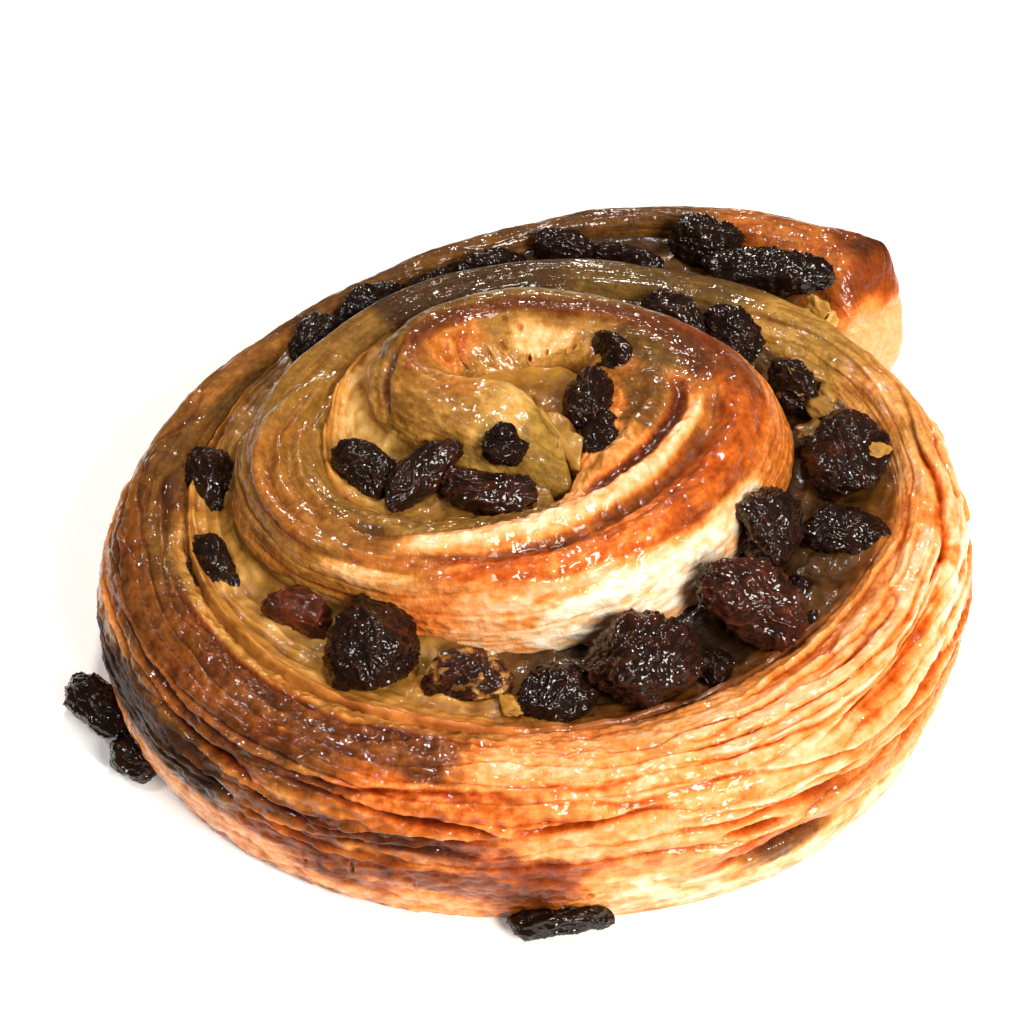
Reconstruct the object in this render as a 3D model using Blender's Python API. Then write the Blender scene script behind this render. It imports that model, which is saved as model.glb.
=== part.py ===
"""Pain aux raisins: a strip of laminated dough wound into a swirl that rises to its
middle, with pastry cream between its turns, a cream heart, and raisins in the cream.

Sizes below are in millimetres and degrees, and the model is in metres, +Z up. The swirl
is described round its pole. An angle runs on past 360 with the strip: 30 is the cut tail
at the back right, 90 the back, 180 the left, 270 the front, 360 the right, and so on
inwards to the tongue that closes the middle.
"""

import math

import bmesh
import bpy
import numpy as np
from mathutils import Euler, Vector

MM = 0.001

# Plan
POLE_X = 0.654          # where the swirl winds to, from the middle of the plan
POLE_Y = 6.22
TURN = 360.0
STEP = 7.5              # between neighbouring sections; a whole turn holds 48 of them
TAIL_ANGLE = 30.0       # the cut end of the strip
ENCLOSED_ANGLE = 390.0  # from here on the strip lies inside the tail
HEART_ANGLE = 645.0     # from here on the strip faces the cream heart
TIP_ANGLE = 1005.0      # the end of the tongue
TAIL_LEAN = 7.5         # the cut leans back by this angle from its foot to its top

# The ridge of the strip: (angle, distance from the pole)
RIDGE_RADIUS = (
    (30, 65), (45, 61.5), (60, 57.3), (75, 51.8), (90, 47), (110, 43.2), (130, 41.6), (150, 43),
    (170, 47.2), (190, 52.4), (210, 56.8), (235, 59), (265, 58.5), (300, 58.5), (330, 57),
    (350, 55), (365, 51.5), (380, 46), (395, 40.5), (418, 34), (441, 31), (465, 29.3),
    (490, 28.9), (515, 30.2), (540, 33.9), (565, 36.8), (585, 36.5), (605, 34), (630, 30.5),
    (655, 28), (685, 27), (705, 27.2), (720, 25.8), (740, 21.9), (760, 17.8), (785, 15),
    (815, 14.4), (845, 15.2), (870, 17), (890, 17.6), (905, 16.4), (927, 13), (950, 10.4),
    (975, 10.6), (1005, 14.6),
)
# The ridge of the strip: (angle, height above the floor)
RIDGE_HEIGHT = (
    (30, 24), (45, 24), (60, 23.2), (120, 22), (200, 22.5), (300, 23), (345, 23.5), (378, 25.5),
    (420, 26), (465, 26.5), (510, 27.5), (553, 28.5), (620, 29.5), (674, 30), (700, 31),
    (720, 32.3), (745, 33.5), (800, 33.8), (870, 34), (905, 33.8), (950, 33), (985, 31),
    (1005, 29),
)
# From the ridge out to the strip's own side
OUTER_HALF = (
    (30, 4.9), (45, 5.6), (60, 5.7), (90, 5.5), (120, 4.2), (150, 3.6), (180, 5.2), (210, 7.8),
    (240, 8.4), (270, 8), (300, 9), (330, 7.4), (360, 5.6), (375, 5.6), (390, 7), (420, 7.2),
    (450, 6), (480, 5.5), (510, 4.5), (540, 5), (570, 6.8), (600, 5.2), (630, 8), (660, 9.7),
    (690, 8), (720, 9.6), (740, 7), (760, 6), (785, 6.4), (815, 7), (845, 6.4), (870, 5.8),
    (905, 5.6), (927, 6.4), (950, 6), (975, 5.8), (1005, 3.6),
)
# From the ridge in to the channel, or to the cream heart
INNER_HALF = (
    (30, 8.5), (45, 5.5), (60, 2.6), (75, 2.2), (110, 2.5), (130, 2.4), (150, 3), (180, 6), (210, 7),
    (240, 7), (270, 7.5), (300, 8.5), (330, 7), (345, 5), (360, 5), (370, 6.5), (395, 5),
    (418, 4), (441, 5), (465, 5.6), (490, 5.7), (515, 5.9), (540, 7.1), (556, 7.6), (582, 7),
    (597, 8.8), (615, 9.8), (636, 9.4), (645, 10), (660, 15), (690, 17.5), (720, 16.5),
    (740, 13.5), (760, 10), (785, 8.6), (815, 8.8), (845, 9), (870, 9), (905, 7.5), (927, 6),
    (950, 5.2), (975, 5.4), (1005, 6.4),
)
# The level to which the channel inside the strip is filled
CHANNEL_LEVEL = (
    (30, 18.5), (200, 18.5), (300, 18.5), (345, 19), (369, 20), (400, 22), (440, 22.5),
    (500, 23), (550, 24), (600, 25), (640, 26), (665, 27), (720, 27.5), (1005, 27.5),
)
# How square the shoulders are: 2 is a plain ellipse
OUTER_SQUARENESS = (
    (30, 4.5), (50, 3), (80, 2.2), (180, 2.2), (240, 2.4), (390, 2.2), (540, 2.2), (620, 2.5),
    (700, 2.3), (1005, 2),
)
INNER_SQUARENESS = (
    (30, 2.2), (540, 2), (620, 2.6), (690, 2.6), (740, 2), (780, 1.5), (880, 1.5), (920, 2),
    (1005, 2),
)

# Walls under the ridge
BULGE_HEIGHT = 8.0      # the free outer side is widest here
UNDERCUT = 1.8          # and draws in this far to its foot
TROUGH_DEPTH = 6.0      # of the cream filling a channel
SEAM = 1.9              # between neighbouring turns below the trough
SEAM_LEAN = 0.4
TROUGH_STEP = 1.0       # from the seam to the trough's bottom corner
HEART_FOOT = 2.6        # the strip's innermost foot, from the pole
HEART_CORNER = 4.4      # where the heart's funnel begins
HEART_DEPTH = 8.0
CLEARANCE = 0.35        # between any two solids
CREAM_FOOT = 0.4        # the cream stays off the floor
CREAM_CROWN = 0.5

# Layers that show on the side and the top of the strip
LAYER_DEPTH = 0.75      # on the free side
FOLD_DEPTH = 0.6        # on the enclosed turns
WANDER = 0.5            # share by which a layer swells and fades along the strip
LAYER_SEED = 11

# Raisins: angle, distance from the pole, height of the middle, length, width, depth,
# swing of the long axis out of the channel's direction, and tilt
RAISINS = (
    (58, 51.6, 22.3, 11, 8.5, 6.5, 25, 0),
    (44, 50.3, 22.3, 18.5, 8, 7, 34, 0),
    (84, 43, 21, 9.5, 5.5, 5.5, 0, 0),
    (69.5, 43.3, 20.3, 10.5, 5, 5, 8, 0),
    (99, 38.8, 21, 11, 5.5, 6, 0, 0),
    (113.5, 36.9, 20.5, 8, 4.6, 5, 0, 0),
    (130, 37.2, 21, 11, 6, 6.5, 0, 0),
    (148, 38.3, 20.5, 9.5, 6.5, 6.5, 0, 0),
    (191, 45, 20, 10.5, 6.8, 6.5, 0, 0),
    (210.5, 47.9, 20, 8.2, 5.6, 6, 0, 0),
    (228.5, 44.2, 20.5, 8, 5, 6, 20, 10),
    (243.5, 44.6, 22, 13, 10.2, 9.5, -50, 0),
    (260, 44.2, 19.8, 9.5, 7.4, 5.5, 0, 0),
    (273.3, 46.2, 20.2, 9.5, 7.2, 6, 0, 0),
    (287, 45.4, 23, 14, 11, 10, 5, 0),
    (298, 47.4, 19.3, 6.5, 5.5, 5, 60, 0),
    (308.5, 43.6, 24, 13.6, 9.6, 9, -75, 12),
    (324.6, 37.6, 24, 10.6, 8.4, 9.2, 40, 0),
    (351, 43.4, 22.3, 13.4, 10.6, 9.5, 20, 0),
    (335, 45.6, 20.6, 10.8, 6.6, 6.5, -60, 0),
    (321.5, 44.2, 18.4, 4.6, 4, 4, 0, 0),
    (316, 48.6, 19, 4.4, 3.2, 3.4, 0, 0),
    (10, 37.6, 24.2, 10.4, 7.2, 7.2, 0, 0),
    (27.5, 32.6, 25.5, 10.6, 7.2, 7.2, 0, 0),
    (45, 29.2, 25.8, 10.5, 5.2, 6, 0, 0),
    (26, 12.2, 29.5, 6.6, 5.2, 6.4, 20, 0),
    (350, 8.2, 28.6, 8.6, 6.8, 6.4, 0, 0),
    (318, 13.5, 27.8, 7.2, 5.2, 5.6, 30, 0),
    (211.5, 26, 27, 8.6, 6.8, 6.5, 20, 0),
    (228.2, 21.5, 28.4, 12, 5, 5, 82, -14),
    (255, 19, 27.8, 12.4, 6.4, 5.4, 8, 0),
    (257, 14.2, 31.8, 5.6, 4.2, 6, 0, 0),
    (212, 67, 3.8, 12, 6, 5.4, 12, 0),
    (219.5, 66.6, 3, 5.4, 4.6, 4.4, 0, 0),
    (273, 66.4, 2.6, 11, 5, 4.4, 0, 0),
)
RAISIN_SIDES = 9
RAISIN_RINGS = 6
RAISIN_FOLDS = 5
RAISIN_FOLD_DEPTH = 0.2
RAISIN_SEED = 23

# Sampling of one section: points on each stretch of the outline
FOOT_POINTS = 4
SHOULDER_POINTS = 9
INNER_POINTS = 7

COLLECTION_NAME = "pain_aux_raisins"
CUTTER_COLLECTION_NAME = "raisin_pockets"


def clear_scene():
    for obj in list(bpy.data.objects):
        bpy.data.objects.remove(obj)


def new_collection(name, hidden=False):
    collection = bpy.data.collections.new(name)
    collection.hide_render = hidden
    bpy.context.scene.collection.children.link(collection)
    return collection


def new_material(name, color, roughness):
    material = bpy.data.materials.new(name)
    material.use_nodes = True
    shader = material.node_tree.nodes["Principled BSDF"]
    shader.inputs["Base Color"].default_value = (*color, 1.0)
    shader.inputs["Roughness"].default_value = roughness
    material.diffuse_color = (*color, 1.0)
    return material


def between(stations, angle):
    """The value at each angle, on a cubic that passes smoothly through the stations."""
    at, value = np.array(stations, float).T
    slope = np.gradient(value, at)
    angle = np.clip(angle, at[0], at[-1])
    i = np.clip(np.searchsorted(at, angle) - 1, 0, len(at) - 2)
    width = at[i + 1] - at[i]
    u = (angle - at[i]) / width
    return (
        value[i] * (1 + 2 * u) * (1 - u) ** 2
        + slope[i] * width * u * (1 - u) ** 2
        + value[i + 1] * u * u * (3 - 2 * u)
        + slope[i + 1] * width * u * u * (u - 1)
    )


def eased(angle, start, end):
    """0 before start, 1 after end, and a smooth step between."""
    u = np.clip((angle - start) / (end - start), 0, 1)
    return u * u * (3 - 2 * u)


class Strip:
    """Radii and heights of the strip's section at each of the given angles."""

    def __init__(self, angle):
        self.ridge = between(RIDGE_RADIUS, angle)
        self.top = between(RIDGE_HEIGHT, angle)
        self.side = self.ridge + between(OUTER_HALF, angle)
        self.inner = self.ridge - between(INNER_HALF, angle)
        self.level = between(CHANNEL_LEVEL, angle)
        enclosed = eased(angle, ENCLOSED_ANGLE - 2 * STEP, ENCLOSED_ANGLE)
        outer_level = between(CHANNEL_LEVEL, angle - TURN)
        self.side_height = BULGE_HEIGHT + (outer_level - BULGE_HEIGHT) * enclosed
        self.foot = self.side - UNDERCUT + (UNDERCUT + SEAM_LEAN) * enclosed
        self.enclosed = enclosed
        self.outer_squareness = between(OUTER_SQUARENESS, angle)
        self.inner_squareness = between(INNER_SQUARENESS, angle)
        self.heart = eased(angle, HEART_ANGLE, HEART_ANGLE + STEP)


def inner_walls(angle):
    """The strip's own inner foot and trough corner, set by the turn inside it."""
    here = Strip(angle)
    inside = Strip(np.minimum(angle + TURN, TIP_ANGLE))
    seam_foot = inside.foot + SEAM
    foot = seam_foot + (HEART_FOOT - seam_foot) * here.heart
    corner = foot + TROUGH_STEP + (HEART_CORNER - HEART_FOOT - TROUGH_STEP) * here.heart
    depth = TROUGH_DEPTH + (HEART_DEPTH - TROUGH_DEPTH) * here.heart
    return here, inside, foot, corner, here.level - depth


def layer_relief(angle, count, rng):
    """For each of count layers, a factor that swells and fades along the strip."""
    turns = np.radians(angle)[:, None]
    waves = np.zeros((len(angle), count))
    for cycles in (1.7, 3.3, 5.9):
        phase = rng.uniform(0, 2 * math.pi, count)
        waves += np.sin(cycles * turns + phase)
    return 1 + WANDER * waves / 3


def strip_outline(angle):
    """Section outlines: arrays of radius and height, one row for each angle."""
    here, _, foot, corner, corner_height = inner_walls(angle)
    column = (slice(None), None)
    u = np.linspace(0, 1, FOOT_POINTS, endpoint=False)[None]
    power = 0.55 + 0.45 * here.enclosed[column]
    lower_r = here.foot[column] + (here.side - here.foot)[column] * u ** power
    lower_z = here.side_height[column] * u
    t = np.linspace(0, math.pi / 2, SHOULDER_POINTS, endpoint=False)[None]
    bend = 2 / here.outer_squareness[column]
    upper_r = here.ridge[column] + (here.side - here.ridge)[column] * np.cos(t) ** bend
    upper_z = here.side_height[column] + (here.top - here.side_height)[column] * np.sin(t) ** bend
    t = np.linspace(math.pi / 2, 0, INNER_POINTS)[None]
    bend = 2 / here.inner_squareness[column]
    inner_r = here.ridge[column] - (here.ridge - here.inner)[column] * np.cos(t) ** bend
    inner_z = here.level[column] + (here.top - here.level)[column] * np.sin(t) ** bend
    r = np.hstack([lower_r, upper_r, inner_r])
    z = np.hstack([lower_z, upper_z, inner_z])

    rng = np.random.default_rng(LAYER_SEED)
    along_r, along_z = np.gradient(r, axis=1), np.gradient(z, axis=1)
    length = np.hypot(along_r, along_z)
    count = r.shape[1]
    place_across = np.arange(count)
    thin = LAYER_DEPTH * np.where(place_across % 2, 0.5, -0.5)
    above_shoulder = place_across - FOOT_POINTS - 1
    broad = FOLD_DEPTH * np.sin(math.pi / 2 * above_shoulder) * (above_shoulder > 0)
    free = 1 - here.enclosed[column]
    reach = np.ones(count)
    reach[0] = 0
    reach[FOOT_POINTS + SHOULDER_POINTS + 3:] = 0
    depth = thin * free + broad * (1 - free)
    push = depth * reach * layer_relief(angle, count, rng)
    r = r + push * along_z / length
    z = z - push * along_r / length
    z[:, 0] = 0

    r = np.hstack([r, corner[column], foot[column]])
    z = np.hstack([z, corner_height[column], np.zeros_like(foot)[column]])
    return r, z


def cream_outline(angle):
    """Section outlines of the filling between a turn and the turn inside it."""
    here, inside, foot, corner, corner_height = inner_walls(angle)
    outer_top = here.inner - CLEARANCE
    inner_top = inside.side + CLEARANCE
    top = here.level + CLEARANCE / 2
    inner_foot = inside.foot + CLEARANCE
    r = [foot - CLEARANCE, corner - CLEARANCE, outer_top]
    z = [np.full_like(foot, CREAM_FOOT), corner_height + 1.5 * CLEARANCE, top]
    for share in (0.66, 0.33):
        r.append(inner_top + (outer_top - inner_top) * share)
        z.append(top + CREAM_CROWN)
    r += [inner_top, inner_foot]
    z += [top, np.full_like(foot, CREAM_FOOT)]
    return np.stack(r, 1), np.stack(z, 1)


def heart_outline(angle):
    """The heart's funnel, from its level at the strip down to the floor."""
    here, _, foot, corner, corner_height = inner_walls(angle)
    r = [here.inner - CLEARANCE, corner - CLEARANCE, foot - CLEARANCE]
    z = [here.level + CLEARANCE / 2, corner_height + 1.5 * CLEARANCE, np.full_like(foot, CREAM_FOOT)]
    return np.stack(r, 1), np.stack(z, 1)


def place(angle, radius, height):
    """Points in metres from angles and radii about the pole, the tail's cut leaning back."""
    fade = np.clip(1 - (angle - TAIL_ANGLE) / (2 * STEP), 0, 1)[:, None]
    lean = TAIL_LEAN * fade * height / RIDGE_HEIGHT[0][1]
    turns = np.radians(angle[:, None] + lean)
    x = POLE_X + radius * np.cos(turns)
    y = POLE_Y + radius * np.sin(turns)
    return np.stack([x, y, height + 0 * x], -1) * MM


def add_object(name, bm, material, collection):
    mesh = bpy.data.meshes.new(name)
    bm.to_mesh(mesh)
    bm.free()
    mesh.materials.append(material)
    mesh.shade_smooth()
    mesh.set_sharp_from_angle(angle=math.radians(50))
    obj = bpy.data.objects.new(name, mesh)
    collection.objects.link(obj)
    return obj


def skin(bm, near, far, count, cross):
    """Two triangles between each pair of neighbouring points of two rings. The outlines of
    the dough and of the cream run opposite ways, so cross picks the diagonal for which
    facing walls stay parallel."""
    for k in range(count):
        after = (k + 1) % len(near)
        if cross:
            bm.faces.new((near[k], far[k], near[after]))
            bm.faces.new((far[k], far[after], near[after]))
        else:
            bm.faces.new((near[k], far[k], far[after]))
            bm.faces.new((near[k], far[after], near[after]))


def loft(name, rings, material, collection, cross=False):
    """Skins a row of closed rings of points, with a cap on each end."""
    bm = bmesh.new()
    verts = [[bm.verts.new(point) for point in ring] for ring in rings]
    for near, far in zip(verts, verts[1:]):
        skin(bm, near, far, len(near), cross)
    bm.faces.new(verts[0])
    bm.faces.new(verts[-1][::-1])
    bmesh.ops.recalc_face_normals(bm, faces=bm.faces)
    return add_object(name, bm, material, collection)


def make_dough(material, collection):
    angle = np.arange(TAIL_ANGLE, TIP_ANGLE + STEP / 2, STEP)
    radius, height = strip_outline(angle)
    return loft("dough", place(angle, radius, height), material, collection)


def make_pastry_cream(material, collection):
    angle = np.arange(TAIL_ANGLE + STEP, HEART_ANGLE - STEP / 2, STEP)
    radius, height = cream_outline(angle)
    return loft("pastry_cream", place(angle, radius, height), material, collection, cross=True)


def make_heart_cream(material, collection):
    """A funnel turned round the pole, its rim following the strip, with a domed top."""
    angle = np.arange(HEART_ANGLE + STEP, TIP_ANGLE + STEP / 2, STEP)
    radius, height = heart_outline(angle)
    rings = place(angle, radius, height)
    bm = bmesh.new()
    columns = [[bm.verts.new(point) for point in ring] for ring in rings]
    for near, far in zip(columns, columns[1:] + columns[:1]):
        skin(bm, near, far, len(near) - 1, cross=False)
    bm.faces.new([column[-1] for column in columns])
    crown = bm.verts.new((POLE_X * MM, POLE_Y * MM, (height[:, 0].mean() + CREAM_CROWN) * MM))
    for near, far in zip(columns, columns[1:] + columns[:1]):
        bm.faces.new((near[0], far[0], crown))
    bmesh.ops.recalc_face_normals(bm, faces=bm.faces)
    return add_object("heart_cream", bm, material, collection)


def raisin_mesh(length, width, depth, seed, grow=0.0):
    """A ball drawn to an oval, with deep folds that run along it."""
    rng = np.random.default_rng(RAISIN_SEED + seed)
    phase, swirl, lean = rng.uniform(0, 2 * math.pi, 3)
    bm = bmesh.new()
    bmesh.ops.create_uvsphere(bm, u_segments=RAISIN_SIDES, v_segments=RAISIN_RINGS, radius=1)
    for vert in bm.verts:
        across, up, along = vert.co
        around = math.atan2(up, across)
        fold = math.sin(RAISIN_FOLDS / 2 * around + phase + 1.3 * along)
        girth = 1 - RAISIN_FOLD_DEPTH * abs(fold) - 0.06 * math.sin(2 * around + swirl)
        bend = 0.08 * math.sin(math.pi * along + lean)
        vert.co = Vector((
            along * (length / 2 + grow),
            (across * girth + bend) * width / 2 + across * grow,
            up * girth * depth / 2 + up * grow,
        )) * MM
    return bm


def make_raisins(material, collection, pockets):
    raisins = []
    for number, (angle, radius, height, length, width, depth, swing, tilt) in enumerate(RAISINS):
        name = f"raisin_{number + 1:02d}"
        around = math.radians(angle)
        spot = Vector((
            POLE_X + radius * math.cos(around),
            POLE_Y + radius * math.sin(around),
            height,
        )) * MM
        heading = Euler((0, math.radians(tilt), around + math.pi / 2 + math.radians(swing)))
        for part_name, grow, where in ((name, 0, collection), (name + "_pocket", CLEARANCE, pockets)):
            bm = raisin_mesh(length, width, depth, number, grow)
            obj = add_object(part_name, bm, material, where)
            obj.location = spot
            obj.rotation_euler = heading
            if grow:
                obj.hide_render = True
                obj.display_type = "WIRE"
            else:
                raisins.append(obj)
    return raisins


def keep_largest_piece(bm):
    """Drops the crumbs that a pocket leaves at a thin edge."""
    unseen = set(bm.faces)
    pieces = []
    while unseen:
        piece, front = [], [unseen.pop()]
        while front:
            face = front.pop()
            piece.append(face)
            for edge in face.edges:
                for other in edge.link_faces:
                    if other in unseen:
                        unseen.remove(other)
                        front.append(other)
        pieces.append(piece)
    pieces.sort(key=len)
    for piece in pieces[:-1]:
        bmesh.ops.delete(bm, geom=piece, context="FACES")


def cut_pockets(obj, pockets):
    """Takes the raisins' pockets, a little larger than the raisins, out of a solid."""
    cut = obj.modifiers.new("pockets", "BOOLEAN")
    cut.operation = "DIFFERENCE"
    cut.operand_type = "COLLECTION"
    cut.collection = pockets
    cut.solver = "EXACT"
    evaluated = obj.evaluated_get(bpy.context.evaluated_depsgraph_get())
    mesh = bpy.data.meshes.new_from_object(evaluated)
    obj.modifiers.remove(cut)
    bm = bmesh.new()
    bm.from_mesh(mesh)
    keep_largest_piece(bm)
    bm.to_mesh(mesh)
    bm.free()
    obj.data = mesh


def main():
    clear_scene()
    part = new_collection(COLLECTION_NAME)
    pockets = new_collection(CUTTER_COLLECTION_NAME, hidden=True)
    dough_material = new_material("baked_laminated_dough", (0.70, 0.36, 0.12), 0.45)
    cream_material = new_material("baked_pastry_cream", (0.40, 0.30, 0.12), 0.25)
    heart_material = new_material("glazed_heart_cream", (0.78, 0.46, 0.10), 0.2)
    raisin_material = new_material("glazed_raisin", (0.03, 0.012, 0.01), 0.3)
    dough = make_dough(dough_material, part)
    cream = make_pastry_cream(cream_material, part)
    heart = make_heart_cream(heart_material, part)
    make_raisins(raisin_material, part, pockets)
    bpy.context.view_layer.update()
    for obj in (dough, cream, heart):
        cut_pockets(obj, pockets)


main()
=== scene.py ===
# Pain aux raisins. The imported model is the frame, and every piece here is its finer form:
# the laminated dough, the baked cream between its turns, the cream heart and the raisins.
import math
from types import SimpleNamespace

import bpy
import numpy as np
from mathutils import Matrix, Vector


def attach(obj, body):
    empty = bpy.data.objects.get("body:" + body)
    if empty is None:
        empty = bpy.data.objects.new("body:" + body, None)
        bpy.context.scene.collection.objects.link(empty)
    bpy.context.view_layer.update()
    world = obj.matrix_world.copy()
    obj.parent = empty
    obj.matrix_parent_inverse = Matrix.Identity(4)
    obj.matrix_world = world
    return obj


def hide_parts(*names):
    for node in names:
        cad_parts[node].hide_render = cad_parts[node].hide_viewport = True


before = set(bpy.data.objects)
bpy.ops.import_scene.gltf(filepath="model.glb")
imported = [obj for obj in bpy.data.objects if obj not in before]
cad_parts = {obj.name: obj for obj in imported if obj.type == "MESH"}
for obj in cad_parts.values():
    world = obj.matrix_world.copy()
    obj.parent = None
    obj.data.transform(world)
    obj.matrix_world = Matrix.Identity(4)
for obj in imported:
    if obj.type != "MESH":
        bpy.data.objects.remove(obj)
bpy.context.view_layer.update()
mm = 0.001
uvSpan = 520.0  # mm of strip to one unit of its map

# The strip's sections as in the source: mm about the pole, degrees along the strip.
# 30 is the cut tail at the back right, 90 the back, 180 the left, 270 the front.
swirl = {
    "poleX": 0.654,
    "poleY": 6.22,
    "turn": 360.0,
    "step": 7.5,
    "tailAngle": 30.0,
    "enclosedAngle": 390.0,
    "heartAngle": 645.0,
    "tipAngle": 1005.0,
    "tailLean": 7.5,
    "ridgeRadius": (
        (30, 65), (45, 61.5), (60, 57.3), (75, 51.8), (90, 47), (110, 43.2), (130, 41.6),
        (150, 43), (170, 47.2), (190, 52.4), (210, 56.8), (235, 59), (265, 58.5), (300, 58.5),
        (330, 57), (350, 55), (365, 51.5), (380, 46), (395, 40.5), (418, 34), (441, 31),
        (465, 29.3), (490, 28.9), (515, 30.2), (540, 33.9), (565, 36.8), (585, 36.5), (605, 34),
        (630, 30.5), (655, 28), (685, 27), (705, 27.2), (720, 25.8), (740, 21.9), (760, 17.8),
        (785, 15), (815, 14.4), (845, 15.2), (870, 17), (890, 17.6), (905, 16.4), (927, 13),
        (950, 10.4), (975, 10.6), (1005, 14.6),
    ),
    "ridgeHeight": (
        (30, 24), (45, 24), (60, 23.2), (120, 22), (200, 22.5), (300, 23), (345, 23.5),
        (378, 25.5), (420, 26), (465, 26.5), (510, 27.5), (553, 28.5), (620, 29.5), (674, 30),
        (700, 31), (720, 32.3), (745, 33.5), (800, 33.8), (870, 34), (905, 33.8), (950, 33),
        (985, 31), (1005, 29),
    ),
    "outerHalf": (
        (30, 4.9), (45, 5.6), (60, 5.7), (90, 5.5), (120, 4.2), (150, 3.6), (180, 5.2),
        (210, 7.8), (240, 8.4), (270, 8), (300, 9), (330, 7.4), (360, 5.6), (375, 5.6),
        (390, 7), (420, 7.2), (450, 6), (480, 5.5), (510, 4.5), (540, 5), (570, 6.8),
        (600, 5.2), (630, 8), (660, 9.7), (690, 8), (720, 9.6), (740, 7), (760, 6), (785, 6.4),
        (815, 7), (845, 6.4), (870, 5.8), (905, 5.6), (927, 6.4), (950, 6), (975, 5.8),
        (1005, 3.6),
    ),
    "innerHalf": (
        (30, 8.5), (45, 5.5), (60, 2.6), (75, 2.2), (110, 2.5), (130, 2.4), (150, 3), (180, 6),
        (210, 7), (240, 7), (270, 7.5), (300, 8.5), (330, 7), (345, 5), (360, 5), (370, 6.5),
        (395, 5), (418, 4), (441, 5), (465, 5.6), (490, 5.7), (515, 5.9), (540, 7.1), (556, 7.6),
        (582, 7), (597, 8.8), (615, 9.8), (636, 9.4), (645, 10), (660, 15), (690, 17.5),
        (720, 16.5), (740, 13.5), (760, 10), (785, 8.6), (815, 8.8), (845, 9), (870, 9),
        (905, 7.5), (927, 6), (950, 5.2), (975, 5.4), (1005, 6.4),
    ),
    "channelLevel": (
        (30, 18.5), (200, 18.5), (300, 18.5), (345, 19), (369, 20), (400, 22), (440, 22.5),
        (500, 23), (550, 24), (600, 25), (640, 26), (665, 27), (720, 27.5), (1005, 27.5),
    ),
    "outerSquareness": (
        (30, 4.5), (50, 3), (80, 2.2), (180, 2.2), (240, 2.4), (390, 2.2), (540, 2.2),
        (620, 2.5), (700, 2.3), (1005, 2),
    ),
    "innerSquareness": (
        (30, 2.2), (540, 2), (620, 2.6), (690, 2.6), (740, 2), (780, 1.5), (880, 1.5),
        (920, 2), (1005, 2),
    ),
    "bulgeHeight": 8.0,
    "undercut": 1.8,
    "troughDepth": 6.0,
    "seam": 1.9,
    "seamLean": 0.4,
    "troughStep": 1.0,
    "heartFoot": 2.6,
    "heartCorner": 4.4,
    "heartDepth": 8.0,
}

# Turns one value for each section into a column.
col = (slice(None), None)


def between(stations, angle):
    # A cubic through the stations, whose slope at each is that of its neighbours' line.
    at, value = np.array(stations, float).T
    slope = np.gradient(value, at)
    angle = np.clip(angle, at[0], at[-1])
    i = np.clip(np.searchsorted(at, angle) - 1, 0, len(at) - 2)
    width = at[i + 1] - at[i]
    u = (angle - at[i]) / width
    return (
        value[i] * (1 + 2 * u) * (1 - u) ** 2
        + slope[i] * width * u * (1 - u) ** 2
        + value[i + 1] * u * u * (3 - 2 * u)
        + slope[i + 1] * width * u * u * (u - 1)
    )


def eased(value, start, end):
    # 0 before start, 1 past end, 3u^2 - 2u^3 between.
    u = np.clip((value - start) / (end - start), 0, 1)
    return u * u * (3 - 2 * u)


def sectionSizes(angle):
    # Radii and heights of the strip's section at each angle, read from the stations.
    s = SimpleNamespace()
    s.ridge = between(swirl["ridgeRadius"], angle)
    s.top = between(swirl["ridgeHeight"], angle)
    s.side = s.ridge + between(swirl["outerHalf"], angle)
    s.inner = s.ridge - between(swirl["innerHalf"], angle)
    s.level = between(swirl["channelLevel"], angle)
    enclosed = eased(angle, swirl["enclosedAngle"] - 2 * swirl["step"], swirl["enclosedAngle"])
    outerLevel = between(swirl["channelLevel"], angle - swirl["turn"])
    s.sideHeight = swirl["bulgeHeight"] + (outerLevel - swirl["bulgeHeight"]) * enclosed
    s.foot = s.side - swirl["undercut"] + (swirl["undercut"] + swirl["seamLean"]) * enclosed
    s.enclosed = enclosed
    s.outerSquareness = between(swirl["outerSquareness"], angle)
    s.innerSquareness = between(swirl["innerSquareness"], angle)
    s.heart = eased(angle, swirl["heartAngle"], swirl["heartAngle"] + swirl["step"])
    return s


def innerWalls(angle):
    # The inner foot follows the outer foot of the turn inside; at the heart it is a funnel.
    here = sectionSizes(angle)
    inside = sectionSizes(np.minimum(angle + swirl["turn"], swirl["tipAngle"]))
    seamFoot = inside.foot + swirl["seam"]
    here.innerFoot = seamFoot + (swirl["heartFoot"] - seamFoot) * here.heart
    funnelStep = swirl["heartCorner"] - swirl["heartFoot"] - swirl["troughStep"]
    here.corner = here.innerFoot + swirl["troughStep"] + funnelStep * here.heart
    depth = swirl["troughDepth"] + (swirl["heartDepth"] - swirl["troughDepth"]) * here.heart
    here.cornerHeight = here.level - depth
    return here, inside


def placed(angle, radius, height):
    # Points in metres from angle and radius about the pole; the tail's cut leans back.
    fade = np.clip(1 - (angle - swirl["tailAngle"]) / (2 * swirl["step"]), 0, 1)
    lean = swirl["tailLean"] * fade * height / swirl["ridgeHeight"][0][1]
    turns = np.radians(angle + lean)
    x = swirl["poleX"] + radius * np.cos(turns)
    y = swirl["poleY"] + radius * np.sin(turns)
    return np.stack([x, y, height + 0 * x], -1) * mm


# Length along the ridge in mm at any angle, from the sum of short chords.
pathSpacing, pathBeyond = 0.25, 10     # degrees
pathAngle = np.arange(swirl["tailAngle"] - pathBeyond, swirl["tipAngle"] + pathBeyond, pathSpacing)
pathRadius = between(swirl["ridgeRadius"], pathAngle)
pathStep = np.hypot(np.gradient(pathRadius), pathRadius * np.radians(pathSpacing))
pathLength = np.cumsum(pathStep)


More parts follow.
